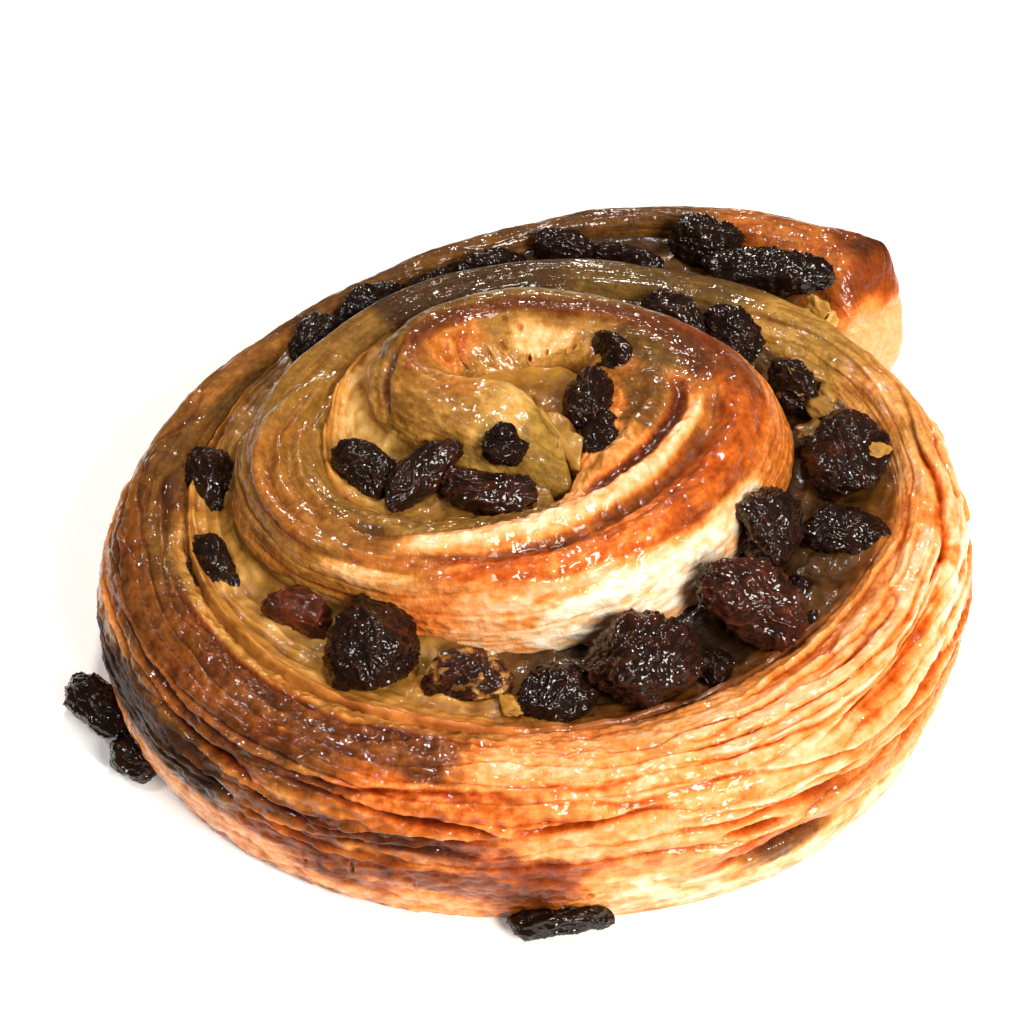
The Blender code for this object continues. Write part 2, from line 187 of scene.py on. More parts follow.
def alongAt(angle):
    # The path's length in mm up to an angle.
    return np.interp(angle, pathAngle, pathLength)


def angleAt(along):
    # The angle at a length along the path.
    return np.interp(along, pathLength, pathAngle)


def outlineAt(angle, acrossCount, startBelow):
    # Section outlines spaced evenly by arc length. Lower wall: side * u^power. Shoulders:
    # quarters of a superellipse, from the side up to the ridge and down to the channel.
    # across is the arc length from the ridge, positive on the outer side. startBelow is how
    # far below the side each section starts.
    here = innerWalls(angle)[0]
    wallSamples, shoulderSamples = 60, 90
    ridgeSample = wallSamples + shoulderSamples
    foot, side, ridge, inner, top, level, sideHeight = [values[col] for values in (
        here.foot, here.side, here.ridge, here.inner, here.top, here.level, here.sideHeight)]
    u = np.linspace(0, 1, wallSamples, endpoint=False)[None]
    power = 0.55 + 0.45 * here.enclosed[col]
    lowerR = foot + (side - foot) * u ** power
    lowerZ = sideHeight * u
    t = np.linspace(0, math.pi / 2, shoulderSamples, endpoint=False)[None]
    bend = 2 / here.outerSquareness[col]
    upperR = ridge + (side - ridge) * np.cos(t) ** bend
    upperZ = sideHeight + (top - sideHeight) * np.sin(t) ** bend
    t = np.linspace(math.pi / 2, 0, shoulderSamples)[None]
    bend = 2 / here.innerSquareness[col]
    innerR = ridge - (ridge - inner) * np.cos(t) ** bend
    innerZ = level + (top - level) * np.sin(t) ** bend
    denseR = np.hstack([lowerR, upperR, innerR])
    denseZ = np.hstack([lowerZ, upperZ, innerZ])
    steps = np.hypot(np.diff(denseR, axis=1), np.diff(denseZ, axis=1))
    length = np.hstack([np.zeros((len(angle), 1)), np.cumsum(steps, axis=1)])
    share = np.linspace(0, 1, acrossCount)
    r, z, across = np.empty((3, len(angle), acrossCount))
    for row, whole in enumerate(length):
        start = max(0.0, whole[wallSamples] - startBelow[row])
        at = start + (whole[-1] - start) * share
        r[row] = np.interp(at, whole, denseR[row])
        z[row] = np.interp(at, whole, denseZ[row])
        across[row] = whole[ridgeSample] - at
    return here, r, z, across


# Noise and relief helpers

latticeSize = 4096
lattices = {}


def makeLattice(seed):
    # Random unit directions, one for each hashed point of a lattice.
    directions = np.random.default_rng(seed).normal(size=(latticeSize, 3))
    return directions / np.linalg.norm(directions, axis=1, keepdims=True)


def noiseAt(x, y, z, seed):
    # Gradient noise from about -1 to 1: at each lattice point a random direction, dotted with
    # the way to the point, blended by 6f^5 - 15f^4 + 10f^3 along each axis. The lattice is
    # turned, so that its rows don't line up with a grid of points.
    if seed not in lattices:
        lattices[seed] = makeLattice(seed)
    x, y, z = 0.36 * x + 0.48 * y - 0.8 * z, 0.6 * y - 0.8 * x, 0.48 * x + 0.64 * y + 0.6 * z
    x, y, z = np.broadcast_arrays(x, y, z)
    whole = [np.floor(c).astype(np.int64) for c in (x, y, z)]
    part = [c - w for c, w in zip((x, y, z), whole)]
    blend = [f * f * f * (f * (f * 6 - 15) + 10) for f in part]
    total = np.zeros(x.shape)
    for corner in range(8):
        step = (corner & 1, corner >> 1 & 1, corner >> 2 & 1)
        mixed = 0
        for axis, prime in enumerate((73856093, 19349663, 83492791)):
            mixed = mixed ^ (whole[axis] + step[axis]) * prime
        direction = lattices[seed][mixed & latticeSize - 1]
        weight = np.ones(x.shape)
        reach = np.zeros(x.shape)
        for axis in range(3):
            weight = weight * (blend[axis] if step[axis] else 1 - blend[axis])
            reach = reach + direction[..., axis] * (part[axis] - step[axis])
        total += weight * reach
    return total * 1.6


def rowNoise(along, row, seed):
    # Noise along each numbered row, with no likeness between neighbouring rows.
    return noiseAt(along, row * 7.31 + 0.5, row * 3.17, seed)


def ridgedNoise(x, y, z, seed):
    # Narrow raised wrinkles: 1 less the size of the noise, squared.
    return (1 - np.minimum(np.abs(noiseAt(x, y, z, seed)) * 2.8, 1)) ** 2


# Meshes

def gridQuads(rows, columns, closedRows=False, closedColumns=False):
    # Four corners for each cell of a grid of points, counted row by row.
    lastRow = rows if closedRows else rows - 1
    lastColumn = columns if closedColumns else columns - 1
    i, j = np.meshgrid(np.arange(lastRow), np.arange(lastColumn), indexing="ij")
    after = (i + 1) % rows
    beside = (j + 1) % columns
    quads = [i * columns + j, after * columns + j, after * columns + beside, i * columns + beside]
    return np.stack(quads, -1).reshape(-1, 4)


def addObject(name, data):
    # An object round its data, put in the scene.
    made = bpy.data.objects.new(name, data)
    bpy.context.scene.collection.objects.link(made)
    return made


def makePiece(name, points, faces, material, nodes, attributes, uv=None, normals=None):
    # Puts arrays of points and of faces with 3 or 4 corners into a mesh that rides on the part.
    mesh = bpy.data.meshes.new(name)
    corners = np.concatenate([group.ravel() for group in faces])
    sizes = np.concatenate([np.full(len(group), group.shape[1]) for group in faces])
    starts = np.concatenate([[0], np.cumsum(sizes)[:-1]])
    mesh.vertices.add(len(points))
    mesh.vertices.foreach_set("co", points.astype(np.float32).ravel())
    mesh.loops.add(len(corners))
    mesh.loops.foreach_set("vertex_index", corners.astype(np.int32))
    mesh.polygons.add(len(sizes))
    mesh.polygons.foreach_set("loop_start", starts.astype(np.int32))
    mesh.update(calc_edges=True)
    mesh.shade_smooth()
    for key, values in attributes.items():
        kind, field = ("FLOAT_VECTOR", "vector") if values.ndim == 2 else ("FLOAT", "value")
        made = mesh.attributes.new(key, kind, "POINT")
        made.data.foreach_set(field, values.astype(np.float32).ravel())
    if uv is not None:
        layer = mesh.uv_layers.new(name="alongStrip")
        layer.data.foreach_set("uv", uv[corners].astype(np.float32).ravel())
    if normals is not None:
        mesh.normals_split_custom_set_from_vertices(normals.tolist())
    mesh.materials.append(material)
    piece = addObject(name, mesh)
    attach(piece, "root")
    if nodes:
        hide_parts(*nodes)
    print(f"{name}: {len(points)} points, {int((sizes - 2).sum())} triangles")


# Materials

def hexColor(text):
    # An sRGB hex value turned linear.
    channels = [int(text[i:i + 2], 16) / 255 for i in (1, 3, 5)]
    linear = [c / 12.92 if c <= 0.04045 else ((c + 0.055) / 1.055) ** 2.4 for c in channels]
    return (*linear, 1.0)


def fillInputs(material, node, inputs):
    # Links the sockets given and sets the plain values.
    for key, value in inputs.items():
        if isinstance(value, bpy.types.NodeSocket):
            material.node_tree.links.new(value, node.inputs[key])
        else:
            node.inputs[key].default_value = value


def addNode(material, kind, inputs=None, **settings):
    # Adds a node, sets it and fills its inputs.
    node = material.node_tree.nodes.new("ShaderNode" + kind)
    for key, value in settings.items():
        setattr(node, key, value)
    fillInputs(material, node, inputs or {})
    return node


def addNoise(material, place, size, detail, **inputs):
    # Cloudy noise from 0 to 1, with spots of a size in mm.
    return addNode(material, "TexNoise", {
        "Vector": place["Object"], "Scale": 1 / (size * mm), "Detail": detail,
        **inputs}).outputs["Fac"]


def addMath(material, operation, *values, clamp=False):
    # One step of arithmetic on sockets and plain numbers.
    return addNode(material, "Math", dict(enumerate(values)), operation=operation,
                   use_clamp=clamp).outputs[0]


def addRange(material, value, fromMin, fromMax, toMin=0.0, toMax=1.0):
    # The value's straight way from one range to another, held at both ends.
    return addNode(material, "MapRange", {
        "Value": value, "From Min": fromMin, "From Max": fromMax, "To Min": toMin,
        "To Max": toMax}).outputs[0]


def addRamp(material, amount, places, hexes):
    # Colours at places from 0 to 1, blended between them.
    node = addNode(material, "ValToRGB", {0: amount})
    elements = node.color_ramp.elements
    while len(elements) < len(hexes):
        elements.new(1.0)
    for element, place, color in zip(elements, places, hexes):
        element.position = place
        element.color = hexColor(color)
    return node.outputs["Color"]


def addMix(material, amount, first, second):
    # The first colour plus the amount times its way to the second.
    return addNode(material, "Mix", {0: amount, 6: first, 7: second}, data_type="RGBA").outputs[2]


def addBump(material, height, strength, distance, **inputs):
    # Normals tipped by a height from 0 to 1 that stands for a distance in mm.
    return addNode(material, "Bump", {
        "Height": height, "Strength": strength, "Distance": distance * mm, **inputs}).outputs[0]


def newMaterial(name):
    # A new material, its shader and its coordinates.
    material = bpy.data.materials.new(name)
    material.use_nodes = True
    place = addNode(material, "TexCoord").outputs
    return material, material.node_tree.nodes["Principled BSDF"], place


def attributeParts(material, name):
    # The three values of a vector attribute.
    vector = addNode(material, "Attribute", attribute_name=name).outputs["Vector"]
    return addNode(material, "SeparateXYZ", {0: vector}).outputs


crust = {
    # Colours from pale to burnt, for plain crust, crust reddened by egg glaze,
    # crust soaked by cream, and crust scorched grey.
    "places": (0, 0.16, 0.32, 0.46, 0.6, 0.74, 0.88, 1),
    "plain": ("#ffeeda", "#f7cb9c", "#dfa45c", "#a57130", "#784b1b", "#532f0e", "#3a2009", "#1c0f07"),
    "red": ("#ffe7d0", "#feba8c", "#f18d42", "#c4560e", "#913606", "#642005", "#451405", "#210c07"),
    "soaked": ("#dcc488", "#c8a75c", "#a58134", "#78591c", "#553c11", "#3b270c", "#2c1d0a", "#181007"),
    "scorchedPlaces": (0, 0.32, 0.6, 0.8, 1),
    "scorched": ("#d8b088", "#a06c44", "#683a22", "#3e1f10", "#20140f"),
    "mottleSize": 1.1,       # mm
    "mottleTone": 0.32,      # browning between its darkest and palest spots
    "streakLength": 4.0,     # mm
    "streakWidth": 0.6,      # mm
    "streakTone": 0.14,
    # painted shade in creases: the browning and redness that gap adds
    "creaseShadeTone": 0.30,
    "creaseShadeRedness": 0.7,
    "blisterSize": 0.9,      # mm
    "skinSize": 0.3,         # mm
    "syrupSize": 3.4,        # mm
    "scorchDullness": 2.4,   # how fast scorched crust loses its syrup
}


def makeCrustMaterial():
    # Laminated dough, glazed with egg and sugar syrup and baked: thin crisp skins over a
    # soft crumb. The syrup is a clear coat with tight highlights over a duller crust.
    material, shader, place = newMaterial("bakedLaminatedDough")
    browning, soaking, redness = attributeParts(material, "baked")
    # gap is painted shade: it browns and reddens the crust in its gaps, grooves and pits and under its
    # lips.
    gap = addNode(material, "Attribute", attribute_name="gap").outputs["Fac"]
    mottle = addNoise(material, place, crust["mottleSize"], 4, Roughness=0.68)
    streakPlace = addNode(material, "Mapping", {
        "Vector": place["UV"],
        "Scale": (uvSpan / crust["streakLength"], uvSpan / crust["streakWidth"], 1)})
    streak = addNode(material, "TexNoise", {
        "Vector": streakPlace.outputs[0], "Scale": 1, "Detail": 2}).outputs["Fac"]
    uneven = addMath(material, "ADD", *[
        addMath(material, "MULTIPLY_ADD", noise, tone, -tone / 2)
        for noise, tone in ((mottle, crust["mottleTone"]), (streak, crust["streakTone"]))])
    withCreaseShade = addMath(material, "MULTIPLY_ADD", gap, crust["creaseShadeTone"], uneven)
    brown = addMath(material, "ADD", browning, withCreaseShade, clamp=True)
    red = addMath(material, "MULTIPLY_ADD", gap, crust["creaseShadeRedness"], redness, clamp=True)
    scorch = addMath(material, "MULTIPLY", redness, -1, clamp=True)
    color = addRamp(material, brown, crust["places"], crust["plain"])
    for amount, places, tone in ((red, "places", "red"), (scorch, "scorchedPlaces", "scorched"),
                                 (soaking, "places", "soaked")):
        color = addMix(material, amount, color, addRamp(material, brown, crust[places], crust[tone]))
    blister = addNoise(material, place, crust["blisterSize"], 2)
    skin = addNoise(material, place, crust["skinSize"], 1)
    syrup = addRange(material, addNoise(material, place, crust["syrupSize"], 2), 0.36, 0.58, 0.2)
    bare = addMath(material, "MULTIPLY_ADD", scorch, -crust["scorchDullness"], 1, clamp=True)
    fillInputs(material, shader, {
        "Base Color": color,
        "Roughness": addRange(material, mottle, 0.3, 0.7, 0.36, 0.58),
        "IOR": 1.45,
        "Specular IOR Level": 0.12,
        "Normal": addBump(material, skin, 0.45, 0.14, Normal=addBump(material, blister, 0.6, 0.4)),
        "Coat Weight": addMath(material, "MULTIPLY", syrup, bare),
        "Coat Roughness": 0.035,
        "Coat IOR": 1.42,
        "Coat Normal": addBump(material, blister, 0.36, 0.3),
        "Subsurface Weight": 0.12,
        "Subsurface Radius": (1, 0.4, 0.12),
        "Subsurface Scale": 1.6 * mm,
    })
    return material


dough = {
    # name, first and last angle, sections
    "pieces": (
        ("doughTail", 30, 150, 300), ("doughLeft", 150, 271, 400), ("doughFront", 271, 392, 400),
        ("doughRise", 392, 565, 400), ("doughCrest", 565, 740, 400), ("doughTongue", 740, 1005, 380),
    ),
    "pointsAcross": 238,
    "mapOffset": 60.0,             # mm across that keeps the map above 0
    "wholeWall": 40.0,             # mm, more than any wall is tall
    "keptBelowSide": 7.0,          # mm of hidden wall with relief, under the enclosed turns
    "wallHides": (392, 410),       # angles between which the outer wall goes out of sight
    "creamEdge": (-5.5, -2.5),     # mm across where the leaves fade in from the cream
    "baseEdge": (14, 17.5),        # mm across where they fade towards the base
    # leaves: pitch and bends (height, along, across), all in mm
    "pitch": 2.7,
    "bends": ((2.6, 24, 8), (0.9, 8, 4)),
    "leafSwell": 13.0,             # mm along which a leaf swells and sinks
    "gapLength": 16.0,
    "leafArch": 0.42,
    "leafStep": 0.45,
    "gapDepth": 1.0,
    "gapWidth": 0.28,
    "puffHeight": 0.3,
    "finePitch": 0.7,
    "fineBends": ((0.5, 15, 3), (0.12, 3, 1)),
    "bubbleHeight": 0.21,
    "lipDecay": 1.9,               # mm over which the step under a leaf's lip fills again
    "foldFade": 3.0,               # degrees over which a fold or lip starts and ends
    "bandFade": 8.0,               # degrees over which a band of colour does
    "pitReach": 6,                 # degrees to each side that a pit can reach
    "crimped": ((195, 215), (272, 290)),     # angles where the crimped skin starts and ends
    "seed": 31,
    "tailBulge": 3.4,              # mm that the cut tail swells past its section
    "tailDrawnIn": 4.5,            # mm that its lower outer corner is drawn in
    "tailAngles": (30, 44),        # where along the strip that fades
    "tailHeights": (1, 11),        # mm, where up the wall it fades
    "tailRings": 40,
    "tailGroove": (15.5, 20),      # mm, height of its groove and of the edge of its dark top
    "tailTone": (0.24, 0, 0.92),   # of its lower part
    "tailTopTone": (0.66, 0, 0.7),
    "tipBulge": 2.0,
    "tipRings": 18,
    "tipTone": (0.33, 0.9, 0),
    # how strongly each relief shows: (angle, leaves, fine leaves, bubbles)
    "amounts": (
        (30, 0.35, 0.3, 0.5), (60, 0.4, 0.4, 0.5), (100, 0.3, 0.5, 0.6), (150, 0.45, 0.6, 0.6),
        (190, 0.7, 0.8, 0.8), (214, 0.8, 0.6, 1.6), (265, 0.8, 0.35, 2.2), (284, 0.9, 0.4, 1.4),
        (300, 1.1, 0.5, 1.1), (345, 1.1, 0.7, 0.8), (372, 0.8, 0.8, 0.5), (392, 0.3, 0.6, 0.35),
        (440, 0.2, 0.5, 0.3), (540, 0.3, 0.6, 0.4), (585, 0.35, 0.5, 0.9), (640, 0.3, 0.3, 1.8),
        (700, 0.25, 0.3, 1.4), (760, 0.18, 0.3, 0.7), (880, 0.15, 0.3, 1), (930, 0.2, 0.3, 1.2),
        (1005, 0.2, 0.3, 0.8),
    ),
}

# Rounded folds and open gaps along the strip: (angle, across, height, half width).
folds = (
    # the two ridges that run round the front of the rise, and the valley between them
    ((596, -0.4, 0, 1.2), (606, -1.6, 0.9, 1.5), (620, -3.2, 1.3, 1.7), (640, -4.4, 1.3, 1.6),
     (668, -5, 1.3, 1.5), (695, -4.6, 1.1, 1.3), (712, -3.8, 0, 1.1)),
    ((600, 1.6, 0, 1.2), (625, 0.2, -0.8, 1.1), (655, -1.6, -1, 1.3), (690, -2, -1, 1.3),
     (715, -2.2, 0, 1.2)),
    ((592, 3.4, 0, 1.5), (606, 3.2, 0.6, 1.7), (640, 3, 1.2, 2.2), (675, 2, 1.3, 2.4),
     (705, 1.2, 1, 2.2), (735, 0.8, 0, 2)),
    ((648, -8.8, 0, 0.9), (660, -9.6, 0.8, 1), (680, -10.8, 0.9, 1), (705, -10.6, 0.6, 1),
     (722, -9.6, 0, 0.9)),
    ((645, -6.8, 0, 0.9), (660, -7.2, -0.6, 1), (700, -7.2, -0.7, 1), (722, -6.6, 0, 0.9)),
    # silky folds that fan out on the left of the rise
    ((530, -3.6, 0, 0.9), (542, -1.2, 0.7, 0.9), (556, 1.2, 0.8, 0.9), (572, 2.8, 0.9, 1),
     (588, 2.4, 0.7, 0.9), (602, 1.4, 0, 0.9)),
    ((526, -5.2, 0, 0.9), (540, -4, 0.7, 0.9), (556, -2, 0.7, 0.9), (570, 0, 0.7, 0.9),
     (584, 0.4, 0, 0.9)),
    ((500, -5.4, 0, 0.9), (520, -6.4, 0.7, 1), (545, -7.2, 0.6, 1), (560, -7, 0, 1)),
    ((548, -5, 0, 0.9), (562, -3.6, 0.6, 0.8), (580, -2, 0.6, 0.8), (592, -1, 0, 0.8)),
    ((586, -2.6, 0, 1), (593, -2.6, -0.9, 1.1), (600, -2.4, 0, 1)),
    ((588, 5, 0, 1), (598, 4.6, 0.6, 1.1), (607, 4.2, 0, 1)),
    ((410, -1.6, 0, 1), (440, -2.2, 0.4, 1), (480, -2.6, 0.5, 1.1), (520, -3.6, 0, 1)),
    ((430, 2.4, 0, 1.1), (470, 2.8, 0.4, 1.1), (520, 2, 0.4, 1.1), (545, 2, 0, 1)),
    ((563, 9, 0, 1), (572, 9, 0.5, 1), (590, 8.6, 0, 1)),
    # the crest round the heart, its rolled edge and the creases of the heart's wall
    ((735, -2.6, 0, 0.8), (760, -2.4, 0.5, 0.9), (820, -2, 0.5, 0.9), (880, -2, 0.3, 0.9),
     (900, -2, 0, 0.9)),
    ((852, -3.4, 0, 0.9), (862, -5, -0.6, 0.9), (871, -6.6, -0.6, 0.8), (878, -8.6, 0, 0.7)),
    ((866, -3.6, 0, 0.7), (874, -5.2, 0.7, 0.7), (882, -7, 0.6, 0.7), (888, -8.6, 0, 0.7)),
    ((722, -8.4, 0, 1.2), (736, -6.6, 0.6, 1.3), (752, -5, 0, 1.2)),
    # the tongue's full side towards the heart, its crease and the fold beside it
    ((900, -3.2, 0, 2.4), (925, -3.8, 1.8, 2.8), (950, -4, 2.4, 3), (985, -4.2, 2, 3.2),
     (1012, -4.4, 1.2, 3.2)),
    ((884, 0.4, 0, 0.8), (893, 1.2, -0.8, 0.8), (902, 3, -1.3, 0.9), (910, 5.4, -1.3, 0.9),
     (918, 7.6, 0, 0.8)),
    ((888, 3, 0, 1), (900, 6.4, 0.8, 1.2), (912, 8.8, 0.5, 1.1), (922, 9.4, 0, 1)),
    ((925, 3, 0, 1.4), (950, 4, 0.5, 1.6), (985, 3.4, 0, 1.4)),
    # open gaps between the leaves of the outer turn
    ((208, -3.6, 0, 0.5), (222, -4, -0.6, 0.4), (245, -3.6, -0.7, 0.45), (270, -4, 0, 0.4)),
    ((226, 7.6, 0, 0.5), (235.5, 8.2, -1.5, 0.75), (242, 8, 0, 0.5)),
    ((240, 10.4, 0, 0.4), (245, 10.9, -1.1, 0.45), (251, 11.2, 0, 0.4)),
    ((230, 11.4, 0, 0.4), (234, 12.8, -1.2, 0.5), (239, 13.4, 0, 0.4)),
    ((253, 7.2, 0, 0.4), (260, 7.9, -1.3, 0.6), (267, 8.6, 0, 0.4)),
    ((268, 8.6, 0, 0.4), (273, 7.8, -1.1, 0.6), (279, 7, 0, 0.4)),
    ((304, 6.6, 0, 0.6), (312, 5.8, -1.3, 1.1), (322, 4.6, -1.2, 0.9), (333, 3.4, 0, 0.6)),
    ((313, 10.4, 0, 0.5), (320, 9.6, -1.2, 0.8), (328, 8.2, 0, 0.5)),
    ((290, 11, 0, 0.4), (299, 11.9, -1.3, 0.8), (309, 13.2, 0, 0.5)),
    ((289, 13, 0, 0.3), (293.5, 13.4, -2.2, 0.5), (298, 13.6, 0, 0.3)),
    ((311, 15.4, 0, 0.5), (319, 14.8, -1.6, 1.1), (329, 13.4, 0, 0.5)),
    ((288, 17.4, 0, 0.7), (297, 18.6, -2, 1.4), (308, 19.4, -1.2, 1.1), (318, 19.6, 0, 0.7)),
)

# Lips of leaves: (angle, across, height of the step below the lip).
lips = (
    ((208, 3.8, 0), (220, 4.1, 0.5), (232, 5.1, 0.6), (246, 5.4, 0.6), (262, 3.6, 0.5),
     (270, 2.8, 0)),
    ((206, 5.8, 0), (219, 6.1, 0.6), (229, 7.4, 0.8), (238, 8.4, 0.6), (244, 8.8, 0)),
    ((240, 6, 0), (249, 6.8, 0.6), (257, 7.6, 0.8), (266, 8.5, 0.5), (270, 8.8, 0)),
    ((266, 8.4, 0), (272, 7.2, 0.7), (279, 6.4, 0.7), (287, 6.4, 0)),
    ((228, 9.2, 0), (238, 9.8, 0.7), (248, 11, 0.8), (258, 10, 0.7), (269, 9, 0)),
    ((226, 10, 0), (234, 12.8, 0.8), (243, 13.2, 0.8), (253, 12.6, 0.6), (265, 11.4, 0)),
    ((236, 15.4, 0), (246, 15.6, 0.5), (256, 15.2, 0.5), (266, 14.4, 0)),
    ((286, 1.2, 0), (292, 2.2, 0.6), (300, 3, 0.7), (311, 3.4, 0.7), (322, 2.2, 0.6),
     (334, 1.6, 0.4), (344, 1.6, 0)),
    ((285, -0.2, 0), (295, 0, 0.5), (305, 0.5, 0.6), (318, 0.9, 0.6), (332, 0.3, 0.5),
     (345, -0.6, 0)),
    ((286, -0.8, 0), (296, -2.3, 0.6), (306, -3.4, 0.6), (318, -3.2, 0.5), (330, -2.6, 0.4),
     (344, -2, 0)),
    ((292, -4.4, 0), (304, -5.8, 0.5), (318, -6.4, 0.5), (334, -5, 0.4), (348, -3.6, 0)),
    ((300, 5.6, 0), (309, 4.6, 0.8), (320, 3.2, 0.8), (332, 2.4, 0.5), (340, 2, 0)),
    ((284, 4, 0), (290, 4.6, 0.5), (298, 6.4, 0.7), (306, 8.6, 0.8), (315, 9, 0.6),
     (326, 7.4, 0.5), (336, 5.8, 0)),
    ((283, 7.6, 0), (290, 8.8, 0.6), (300, 9.8, 0.7), (312, 11.4, 0.6), (322, 10.8, 0.5),
     (334, 9, 0)),
    ((284, 9.6, 0), (291, 10.6, 0.8), (300, 11.2, 0.9), (310, 12.8, 0.7), (320, 12.8, 0.6),
     (332, 11, 0)),
    ((287, 14.4, 0), (294, 14.9, 0.9), (301, 15, 0.7), (312, 14.4, 0.8), (322, 13.4, 0.8),
     (334, 12.4, 0)),
    ((286, 16.2, 0), (294, 17.4, 1), (304, 18.2, 1), (314, 18.2, 0.8), (326, 17, 0.6),
     (340, 16, 0)),
    ((268, 1.6, 0), (275, 2.6, 0.4), (281, 2, 0.4), (286, 0.8, 0)),
    ((268, 4.6, 0), (276, 4.4, 0.5), (283, 4.8, 0.4), (288, 4.2, 0)),
    ((338, 3.6, 0), (350, 4.4, 0.5), (365, 4.6, 0.5), (380, 4.2, 0)),
    ((336, 7.6, 0), (350, 8.8, 0.6), (366, 9.4, 0.6), (386, 9, 0)),
    ((338, 12.4, 0), (352, 13.4, 0.6), (370, 13.8, 0.6), (388, 13.4, 0)),
    ((184, 1.2, 0), (196, 2.4, 0.5), (210, 2.8, 0)),
    ((180, 4.4, 0), (194, 5.6, 0.6), (210, 7.4, 0.6), (222, 9, 0)),
    ((176, 8.4, 0), (192, 9.8, 0.6), (208, 11.4, 0.6), (226, 12, 0)),
    ((180, 13.4, 0), (200, 14.6, 0.6), (222, 15.6, 0)),
    ((100, 3.4, 0), (130, 4, 0.4), (160, 4.6, 0.5), (178, 5, 0)),
    ((70, 8, 0), (110, 9, 0.5), (150, 9.4, 0.6), (178, 10.4, 0)),
    ((60, 13.2, 0), (100, 14.4, 0.5), (150, 14.6, 0.6), (186, 16, 0)),
)

# Small round pits: angle, across, depth, half length, half width in mm.
pits = (
    (811.6, -9.4, 0.9, 0.45, 0.45), (819, -5, 0.8, 0.55, 0.5), (877, -8.8, 0.8, 0.35, 0.8),
    (884.5, -6.4, 0.8, 0.6, 0.6), (793, -8.6, 0.5, 0.5, 0.4), (838, -7.6, 0.5, 0.6, 0.6),
    (853, -8.2, 0.5, 0.5, 0.9), (829, -3.6, 0.4, 0.5, 0.4), (770, -8.4, 0.5, 0.6, 0.5),
    (276, 19.2, 1, 0.35, 0.7), (282.5, 18, 0.7, 0.3, 0.5), (285, 20.4, 0.6, 0.3, 0.4),
    (251.5, 17.4, 0.9, 0.25, 1), (258, 19, 0.8, 0.25, 0.9), (246, 19.6, 0.7, 0.25, 0.8),
    (937, 8.6, 0.8, 0.5, 0.9), (922, 12.2, 0.7, 0.5, 0.9), (680, -8, 0.3, 0.4, 0.3),
)
